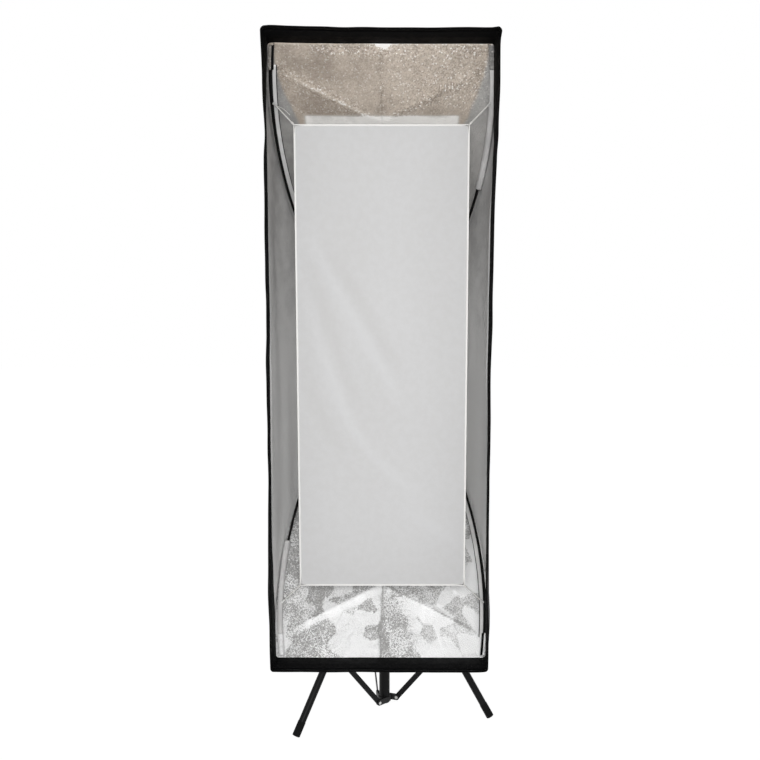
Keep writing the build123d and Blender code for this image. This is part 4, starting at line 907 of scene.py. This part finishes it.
# ---------------------------------------------------------------- corner piping
# A folded black tape is sewn over each corner seam outside, with a raised cord under its fold and a row of
# stitches on both wings.
TAPE = (
    (8.0, 1.25, 0), (8.0, 1.95, 0), (5.0, 2.0, 0), (2.0, 2.2, 0), (0.2, 3.0, 0), (-1.4, 3.3, 0),
    (-2.7, 2.7, 0), (-1.4, 3.3, 1), (0.2, 3.0, 1), (2.0, 2.2, 1), (5.0, 2.0, 1), (8.0, 1.95, 1),
    (8.0, 1.25, 1), (4.0, 1.25, 1), (-1.25, 1.25, 0), (4.0, 1.25, 0),
)  # distance from the corner, height over the panel, and which panel: 0 the side, 1 the top or bottom


def corner_tape(side_x, side_z):
    """Section points of the tape on one corner, all along the seam."""
    reach = [math.hypot(away + 1.3, height - 1.3) * (1 if panel else -1) for away, height, panel in TAPE]

    def place(a, b):
        y = SHELL_FRONT + 0.001 + (SHELL_REAR - SHELL_FRONT - 0.002) * a
        distance, height, panel = TAPE[round(b * len(TAPE)) % len(TAPE)]
        height *= 1.0 + 0.06 * noise.noise(Vector((y * 70, side_x, side_z)))
        lean_x = math.hypot(1, (half_width(y + MM) - half_width(y - MM)) / (2 * MM))
        lean_z = math.hypot(1, (half_height(y + MM) - half_height(y - MM)) / (2 * MM))
        if panel:
            x, z = half_width(y) - distance * MM, half_height(y) + height * MM * lean_z
        else:
            x, z = half_width(y) + height * MM * lean_x, half_height(y) - distance * MM
        across = reach[round(b * len(TAPE)) % len(TAPE)] * MM
        return carried((side_x * x, y, AXIS_Z + side_z * z), y), (cloth_length(half_height, y), across)

    return place


def joined(name, pieces):
    """Join finished pieces of one material into one object."""
    bm = bmesh.new()
    for piece in pieces:
        bm.from_mesh(piece.data)
        bpy.data.objects.remove(piece)
    return to_piece(name, bm)


piping = joined("piping", [
    cloth_grid(f"tape_{corner}", 110, len(TAPE), corner_tape(*sides), ends=True)
    for corner, sides in CORNERS.items()
])
piping.data.materials.append(nylon_cloth(
    "tape_nylon", (0.0025, 0.0025, 0.0028, 1), (0.0070, 0.0070, 0.0075, 1), 0.72, threads=900.0,
    depth=0.00025, rows=(-0.0064, 0.0064),
))
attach(piping, "softbox")


# ---------------------------------------------------------------- rod channels and seam strips
# Inside each corner runs a strip of the silver film. It lies beside the rod on two corners, and its seam side
# and free edge are black nylon, a painted shadow of the rod and of the strip's edge. It is folded over the
# rod as a channel on the other two. Pockets of the film, bound in black webbing on two corners, hold the
# rods' tips.
ROD_POINTS = ((0.061, -0.109, 0.061), (0.18175, -0.244, 0.30775), (0.1925, -0.438, 0.5485))
ROD_RUN = 0.6196  # length of its arc
COVER_END = 0.955  # share of the rod's length where its covers stop
POCKET_SHARES = (0.945, 1.016)  # where the corner pockets start and end


def rod_line(share, side_x, side_z):
    """A point of the rod's arc and its direction. Beyond the tip it carries straight on."""
    first, middle, last = [Vector(point) for point in ROD_POINTS]
    u, v = middle - first, last - first
    square = u.cross(v)
    turn = v.length_squared * square.cross(u) - u.length_squared * square.cross(v)
    centre = first + turn / (2 * square.length_squared)
    arm = first - centre
    other = square.normalized().cross(arm)
    whole = math.atan2((last - centre).dot(other), (last - centre).dot(arm)) % (2 * math.pi)
    angle = whole * min(share, 1.0)
    point = centre + arm * math.cos(angle) + other * math.sin(angle)
    along = (other * math.cos(angle) - arm * math.sin(angle)).normalized()
    point += along * max(share - 1.0, 0) * ROD_RUN
    flip = Vector((side_x, 1, side_z))
    return (point * flip) + Vector((0, 0, AXIS_Z)), along * flip


def rod_cover(name, side_x, side_z, start, end, section, wobble=0.0):
    """An open section carried along a rod: distances in millimetres towards the middle, and up or down."""
    runs = section_runs(in_millimetres(section))

    def place(a, b):
        share = start + (end - start) * a
        point, along = rod_line(share, side_x, side_z)
        inward = Vector((-side_x, 0, 0))
        inward = (inward - along * inward.dot(along)).normalized()
        down = Vector((0, 0, -side_z))
        down = (down - along * down.dot(along)).normalized()
        row = round(b * (len(section) - 1))
        u, v = section[row]
        shift = wobble * noise.noise(Vector((share * 24, side_x * 3, side_z * 5)))
        return point + (inward * (u + shift) + down * (v + shift * 0.4)) * MM, (share * ROD_RUN, runs[row])

    made = cloth_grid(name, max(6, round((end - start) * 200)), len(section) - 1, place)
    if side_x * side_z < 0:
        made.data.flip_normals()
    return made


def faces_across(made):
    """Each face of a cover, with how far across its cut it lies."""
    cut = made.data.uv_layers["cloth"].data
    return [(face, sum(cut[loop].uv.y for loop in face.loop_indices) / face.loop_total)
            for face in made.data.polygons]


CHANNEL = (
    (4.0, -5.3), (4.0, -2.5), (4.0, -0.4), (3.7, 1.5), (2.8, 2.8), (1.5, 3.7), (-0.4, 4.0), (-2.5, 4.0),
    (-5.3, 4.0),
)
SEAM = ((-4.2, -4.0), (-2.0, -3.9), (0.5, -3.8), (3.7, -3.7))
STRIP = ((5.0, -4.0), (7.0, -4.3), (8.8, -4.1), (9.1, -3.9), (9.8, -3.4), (10.3, -2.6), (10.1, -2.0))
WHOLE_STRIP = (*SEAM, *STRIP)
channels = joined("rod_channels", [
    rod_cover("channel", 1, 1, 0.56, COVER_END, CHANNEL, 0.5),
    rod_cover("channel", -1, -1, 0.63, COVER_END, CHANNEL, 0.5),
])
strips = joined("seam_strips", [
    rod_cover("strip", *sides, 0.10, COVER_END, WHOLE_STRIP, 0.4)
    for sides in (CORNERS["top_left"], CORNERS["bottom_right"])
])
strip_runs = section_runs(in_millimetres(WHOLE_STRIP))
for covering in (channels, strips):
    # Painted shade: the strips and channels are given fixed shade levels, darker on the channels.
    paint(covering, "shade", [0.5 if covering == strips else 0.3] * len(covering.data.vertices))
    covering.data.materials.append(side_film)
    covering.data.materials.append(painted_shadow_nylon)
    thicken(covering, 0.0004)
    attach(covering, "softbox")
# Painted shadow: the faces on the seam side and on the free edge, outside this span, take the black nylon.
film_span = (strip_runs[2] + 1e-5, strip_runs[7] - 1e-5)
for face, across in faces_across(strips):
    face.material_index = int(not film_span[0] < across < film_span[1])

POCKET = (
    (4.2, -5.6), (4.1, -2.5), (4.0, -0.4), (3.8, 1.6), (2.9, 2.9), (1.6, 3.8), (-0.4, 4.1), (-2.5, 4.2),
    (-5.6, 4.3),
)
pockets = joined("corner_sleeves", [
    rod_cover("sleeve", *sides, *POCKET_SHARES, POCKET) for sides in CORNERS.values()
])
# Painted light and shade: the upper pockets are darker than the lower ones, and they turn grey, more on the
# right.
paint(pockets, "shade", [0.25 if vert.co.z > AXIS_Z else 0.9 for vert in pockets.data.vertices])
paint(pockets, "painted_grey", [1.0 if vert.co.x > 0 else 0.6 for vert in pockets.data.vertices])
paint(pockets, "spark", [0.6] * len(pockets.data.vertices))
webbing = nylon_cloth(
    "webbing", (0.0030, 0.0030, 0.0033, 1), (0.009, 0.009, 0.010, 1), 0.7, threads=480.0, depth=0.0005
)
for material in (top_film, bottom_film, webbing):
    pockets.data.materials.append(material)
tip_runs = section_runs(in_millimetres(POCKET))
for face, across in faces_across(pockets):
    low = face.center.z < AXIS_Z
    bound_edge = (face.center.x > 0) == low and tip_runs[3] < across < tip_runs[6]
    face.material_index = 2 if bound_edge else int(low)
thicken(pockets, 0.0014)
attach(pockets, "softbox")
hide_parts("corner_pockets")


# ---------------------------------------------------------------- rear cuff
# Black nylon gathered from the rear edges of the four panels to the collar of the speedring, where an
# elastic in the hem pulls it tight.
CUFF_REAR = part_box("rear_cuff")[1].y
COLLAR = 0.0702  # radius of its hem
PLEATS = 34


def cuff_place(a, b):
    """From the panels' square rear edge, round the bend, and in to the round hem."""
    angle = 2 * math.pi * a
    lean = (math.cos(angle), math.sin(angle))
    half_x, half_z = half_width(SHELL_REAR) + 0.0006, half_height(SHELL_REAR) + 0.0006
    edge = (abs(lean[0] / half_x) ** 9 + abs(lean[1] / half_z) ** 9) ** (-1 / 9)
    gather = math.sin(PLEATS * angle + 2.2 * noise.noise(Vector((lean[0] * 2, lean[1] * 2, 4.4))))
    if b < 0.45:
        share = b / 0.45
        radius = edge - 0.0035 * share**3
        y = SHELL_REAR + (CUFF_REAR - 0.0022 - SHELL_REAR) * (1 - (1 - share) ** 1.5)
        radius += 0.0006 * gather * share
    else:
        share = (b - 0.45) / 0.55
        outer = edge - 0.0035
        radius = outer + (COLLAR - outer) * share
        flat = smooth(0.078, 0.082, radius)
        y = CUFF_REAR - 0.0008 - 0.0014 * (1 - share) * flat
        y -= 0.0011 * (0.5 + 0.5 * gather) * (0.25 + 0.75 * flat)
        radius += 0.0006 * gather * (1 - share)
    return Vector((radius * lean[0], y, AXIS_Z + radius * lean[1])), (angle * 0.085, b * 0.045)


cuff = cloth_grid("cuff", 408, 22, cuff_place, flip=True)
cuff.data.materials.append(outer_nylon)
thicken(cuff, 0.0006, -1)
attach(cuff, "softbox")
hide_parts("rear_cuff")


# ---------------------------------------------------------------- inner baffle
# A panel of thin white nylon, hung by its corners behind the mouth. It is bound with white tape, and long
# soft wrinkles run down from its upper left edge, where it was folded.
baffle_low, baffle_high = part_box("inner_baffle")
HALF_BAFFLE = (baffle_high.x, (baffle_high.z - baffle_low.z) / 2)
# Lines of the wrinkles, from the middle of the panel in metres, then their height and width in metres.
WRINKLES = (
    (((-0.148, 0.122), (-0.119, 0.033), (-0.092, -0.045), (-0.066, -0.108), (-0.029, -0.165), (0.019, -0.213),
      (0.066, -0.248)), 0.0013, 0.011),
    (((-0.145, 0.207), (-0.109, 0.103), (-0.066, -0.027), (-0.045, -0.08)), -0.0012, 0.012),
    (((-0.132, 0.225), (-0.078, 0.122), (-0.009, 0.005), (0.03, -0.07)), 0.0014, 0.012),
    (((-0.108, 0.220), (-0.059, 0.147), (0.009, 0.024), (0.04, -0.03)), -0.0011, 0.013),
    (((-0.148, 0.0), (-0.111, -0.108), (-0.08, -0.17)), -0.0011, 0.012),
    (((0.05, -0.28), (0.10, -0.32), (0.15, -0.345)), 0.0009, 0.014),
)


def wrinkled(x, z):
    """Height of the wrinkles at a point of the baffle, in metres."""
    total = 0.0
    for line, height, width in WRINKLES:
        best, worth = 1.0, 0.0
        for i, (start, end) in enumerate(zip(line, line[1:])):
            share_in = min(max(beside((x, z), start, end)[1], 0.0), 1.0)
            near = Vector(start).lerp(Vector(end), share_in)
            distance = (Vector((x, z)) - near).length
            if distance < best:
                best, place_on = distance, (i + share_in) / (len(line) - 1)
                worth = 0.35 + 0.65 * math.sin(math.pi * min(max(place_on, 0.0), 1.0))
        total += height * worth * math.exp(-((best / width) ** 2))
    return total + 0.0007 * noise.noise(Vector((x * 9, z * 5, 2.9)))


baffle_painted_shade = []


def baffle_place(a, b):
    """A point of the baffle, flat at its edges and wrinkled between them."""
    x, z = (2 * a - 1) * HALF_BAFFLE[0], (2 * b - 1) * HALF_BAFFLE[1]
    held = smooth(0, 0.02, HALF_BAFFLE[0] - abs(x)) * smooth(0, 0.02, HALF_BAFFLE[1] - abs(z))
    height = wrinkled(x, z)
    # Painted shade: the wrinkles' ridges are stored lighter and their hollows darker.
    baffle_painted_shade.append(0.5 + 260 * height)
    y = (baffle_low.y + baffle_high.y) / 2 - height * held
    return Vector((x, y, AXIS_Z + z)), (x, z)


baffle = cloth_grid("baffle", 110, 290, baffle_place)
paint(baffle, "shade", baffle_painted_shade)
if baffle.data.polygons[0].normal.y > 0:
    baffle.data.flip_normals()
white_nylon, tree, shader, _ = finish_of("white_nylon", 0.7, specular=0.25)
cut = node(tree, "UVMap", uv_map="cloth").outputs[0]
cloth = apply_effect(tree, WEAVE, Cut=cut, Threads_per_metre=1700.0)
shade = node(tree, "Attribute", attribute_name="shade").outputs["Fac"]
# The stored painted shade lightens or darkens the white nylon.
level = calc(tree, "ADD", shade, ramp(tree, cloth["Tone"], 0, 1, -0.10, 0.10))
body = tint(tree, ramp(tree, level, 0.0, 1.0), (0.52, 0.515, 0.51, 1), (0.585, 0.585, 0.588, 1))
raised = calc(tree, "MULTIPLY", cloth["Height"], 0.3)
tree.links.new(tint(tree, raised, body, (0.60, 0.60, 0.605, 1)), shader["Base Color"])
shader["Sheen Weight"].default_value = 0.1
relief(tree, shader, cloth["Height"], 0.00005)
baffle.data.materials.append(white_nylon)
thicken(baffle, 0.0004)
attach(baffle, "softbox")
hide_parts("inner_baffle")


# ---------------------------------------------------------------- baffle's binding
# White tape folded over the baffle's edges and sewn down with one row of stitches.
BINDING_SECTION = in_millimetres((
    (-0.9, 3.4), (-1.0, 2.2), (-1.05, 1.0), (-0.8, 0.25), (0.0, 0.0), (0.8, 0.25), (1.05, 1.0), (1.0, 2.2),
    (0.9, 3.4), (0.25, 3.3), (0.25, 1.0), (-0.25, 1.0), (-0.25, 3.3),
))


def baffle_bend(x, z, depth):
    """Place a point of the tape on the baffle's edge."""
    return Vector((x, (baffle_low.y + baffle_high.y) / 2 + depth, AXIS_Z + z))


binding = band("baffle_tape", *HALF_BAFFLE, 0.001, BINDING_SECTION, baffle_bend, step=0.02)
binding.data.materials.append(nylon_cloth(
    "white_tape", (0.90, 0.89, 0.86, 1), (0.96, 0.95, 0.93, 1), 0.6, threads=1500.0, depth=0.0001, sheen=0.1,
    rows=(0.0012,), thread=(0.95, 0.95, 0.93, 1), specular=0.3,
))
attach(binding, "softbox")
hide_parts("baffle_binding")


# ---------------------------------------------------------------- elastics and their hooks
# Four white elastics, sewn into the baffle's corners and stretched to moulded hooks that catch the rods.
# The upper left one is tied back on itself, and its loose tail lies beside it.
CORD = 0.0012
corner_spots = {
    corner: Vector((x * HALF_BAFFLE[0], (baffle_low.y + baffle_high.y) / 2, AXIS_Z + z * HALF_BAFFLE[1]))
    for corner, (x, z) in CORNERS.items()
}
HOOKED_AT = 0.845  # share of the rod's length
HOOK_REACH = 0.0138  # from the hook's base to the rod's middle
HOOK_SIDES = 20
rod_spots = {corner: rod_line(HOOKED_AT, *sides)[0] for corner, sides in CORNERS.items()}


def thread_along(name, path, radius):
    """A round cord along a list of points, closed at both ends."""
    runs = [0.0]
    for first, last in zip(path, path[1:]):
        runs.append(runs[-1] + (last - first).length)

    def place(a, b):
        i = round(a * (len(path) - 1))
        along = (path[min(i + 1, len(path) - 1)] - path[max(i - 1, 0)]).normalized()
        side = along.cross(Vector((0.3, 1, 0.2))).normalized()
        angle = 2 * math.pi * round(b * 10) / 10
        out = side * math.cos(angle) + along.cross(side) * math.sin(angle)
        return path[i] + out * radius, (runs[i], angle * radius)

    return cloth_grid(name, len(path) - 1, 10, place, ends=True)


def cord_path(corner, steps=14):
    """From just past the binding's corner, through it, to the hook, stretched straight."""
    start, end = corner_spots[corner], rod_spots[corner]
    along = (end - start).normalized()
    last = (end - start).length - 0.0135
    return [start + along * (-0.003 + (last + 0.003) * i / steps) for i in range(steps + 1)]


elastics = []
for corner in CORNERS:
    path = cord_path(corner)
    elastics.append(thread_along("elastic", path, CORD))
    knot = [path[1].lerp(path[2], t / 6) for t in range(7)]
    elastics.append(thread_along("knot", knot, CORD * 1.7))
tail_from = cord_path("top_left")[-1]
tail_way = corner_spots["top_left"] - tail_from + Vector((0, 0, 0.012))
elastics.append(thread_along("tail", [
    tail_from + tail_way * (0.8 * i / 12) + Vector((0, -0.001, 0.003)) * math.sin(math.pi * i / 12)
    for i in range(13)
], CORD * 0.4))
cords = joined("baffle_elastics", elastics)
cords.data.materials.append(nylon_cloth(
    "elastic_braid", (0.70, 0.69, 0.66, 1), (0.90, 0.89, 0.87, 1), 0.65, threads=1400.0, depth=0.00012,
    sheen=0.1, specular=0.3,
))
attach(cords, "softbox")
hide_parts("baffle_cords")

# Distance along the hook and its radius, in millimetres: a ferrule on the cord, a waist and a round nose.
HOOK = ((0.0, 0.0), (0.0, 1.9), (0.4, 2.3), (1.4, 2.3), (1.8, 2.0), (2.2, 2.3), (3.2, 2.3), (3.6, 2.0),
        (4.4, 1.7), (6.6, 1.7), (7.4, 2.4), (8.6, 2.7), (9.4, 2.3), (9.9, 1.2), (10.0, 0.0))


def hook_on(corner):
    """Turn the hook's outline round the cord's line, its nose at the rod."""
    start, end = corner_spots[corner], rod_spots[corner]
    along = (end - start).normalized()
    base = end - along * HOOK_REACH
    side = along.orthogonal().normalized()

    def place(a, b):
        reach, radius = HOOK[round(b * (len(HOOK) - 1))]
        angle = 2 * math.pi * (round(a * HOOK_SIDES) % HOOK_SIDES) / HOOK_SIDES
        out = side * math.cos(angle) + along.cross(side) * math.sin(angle)
        return base + (along * reach + out * radius) * MM, (angle * radius * MM, reach * MM)

    return cloth_grid("hook", HOOK_SIDES, len(HOOK) - 1, place, ends=True)


hooks = joined("elastic_hooks", [hook_on(corner) for corner in CORNERS])
hooks.data.materials.append(coated(
    "hook_plastic", (0.55, 0.55, 0.54, 1), (0.75, 0.75, 0.74, 1), 0.4, 1500.0, 0.00006, rub=0.3
))
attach(hooks, "softbox")
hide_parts("cord_hooks")


# ---------------------------------------------------------------- studio
# A plain pale floor under two soft lamps, and the camera in front of the box, a little above its middle.
FLOOR_GLOW = 1.12  # just enough to show white
FLOOR_SEEN = 0.86  # share of the floor's look that is its glow. The rest is its light and shadow
ROOM_LIGHT = 0.36


def studio_floor():
    """The floor shows white, and keeps a soft shadow under the stand."""
    bm = bmesh.new()
    bmesh.ops.create_grid(bm, x_segments=4, y_segments=4, size=15)
    bmesh.ops.translate(bm, verts=bm.verts, vec=(0, 0, -0.0008))
    made = to_piece("floor", bm)
    paint, tree, shader, _ = finish_of("floor_paint", 0.9, specular=0.0)
    shader["Base Color"].default_value = (0.88, 0.88, 0.88, 1)
    path = node(tree, "LightPath").outputs
    seen = calc(tree, "MAXIMUM", path["Is Camera Ray"], path["Is Glossy Ray"])
    seen = calc(tree, "MAXIMUM", seen, path["Is Transmission Ray"])
    glow = node(tree, "Emission", {"Color": (1, 1, 1, 1), "Strength": FLOOR_GLOW}).outputs[0]
    lit = tree.nodes["Principled BSDF"].outputs[0]
    both = node(tree, "MixShader", {0: calc(tree, "MULTIPLY", seen, FLOOR_SEEN), 1: lit, 2: glow}).outputs[0]
    tree.links.new(both, tree.nodes["Material Output"].inputs["Surface"])
    made.data.materials.append(paint)


def studio_world():
    """Even soft light from all round, seen as white."""
    world = bpy.data.worlds.new("studio")
    world.use_nodes = True
    tree = world.node_tree
    path = node(tree, "LightPath").outputs
    seen = calc(tree, "MAXIMUM", path["Is Camera Ray"], path["Is Glossy Ray"])
    seen = calc(tree, "MAXIMUM", seen, path["Is Transmission Ray"])
    light = node(tree, "Background", {"Color": (1, 1, 1, 1), "Strength": ROOM_LIGHT}).outputs[0]
    white = node(tree, "Background", {"Color": (1, 1, 1, 1), "Strength": 1.0}).outputs[0]
    both = node(tree, "MixShader", {0: seen, 1: light, 2: white}).outputs[0]
    tree.links.new(both, tree.nodes["World Output"].inputs["Surface"])
    bpy.context.scene.world = world


def lamp(name, place, aim, size, power):
    """A square soft lamp aimed at a point."""
    data = bpy.data.lights.new(name, "AREA")
    data.shape = "SQUARE"
    data.size = size
    data.energy = power
    made = bpy.data.objects.new(name, data)
    made.location = place
    made.rotation_mode = "QUATERNION"
    made.rotation_quaternion = (Vector(aim) - Vector(place)).to_track_quat("-Z", "Y")
    bpy.context.scene.collection.objects.link(made)


studio_floor()
studio_world()
lamp("front_lamp", (0, -2.5, 1.1), (0, -0.35, 0.8), 0.9, 31.0)
lamp("high_lamp", (-0.2, -2.8, 2.3), (0, -0.3, 0.9), 1.6, 7.0)

eye = bpy.data.cameras.new("camera")
eye.sensor_width = 36.0
eye.lens = 38.25
eye.shift_x = -0.0157
eye.shift_y = 0.0526
camera = bpy.data.objects.new("camera", eye)
camera.location = (0.01856, -1.9186, 0.939)
camera.rotation_euler = (math.radians(90 - 6.853), 0, 0)
bpy.context.scene.collection.objects.link(camera)
bpy.context.scene.camera = camera
bpy.context.scene.view_settings.view_transform = "Standard"
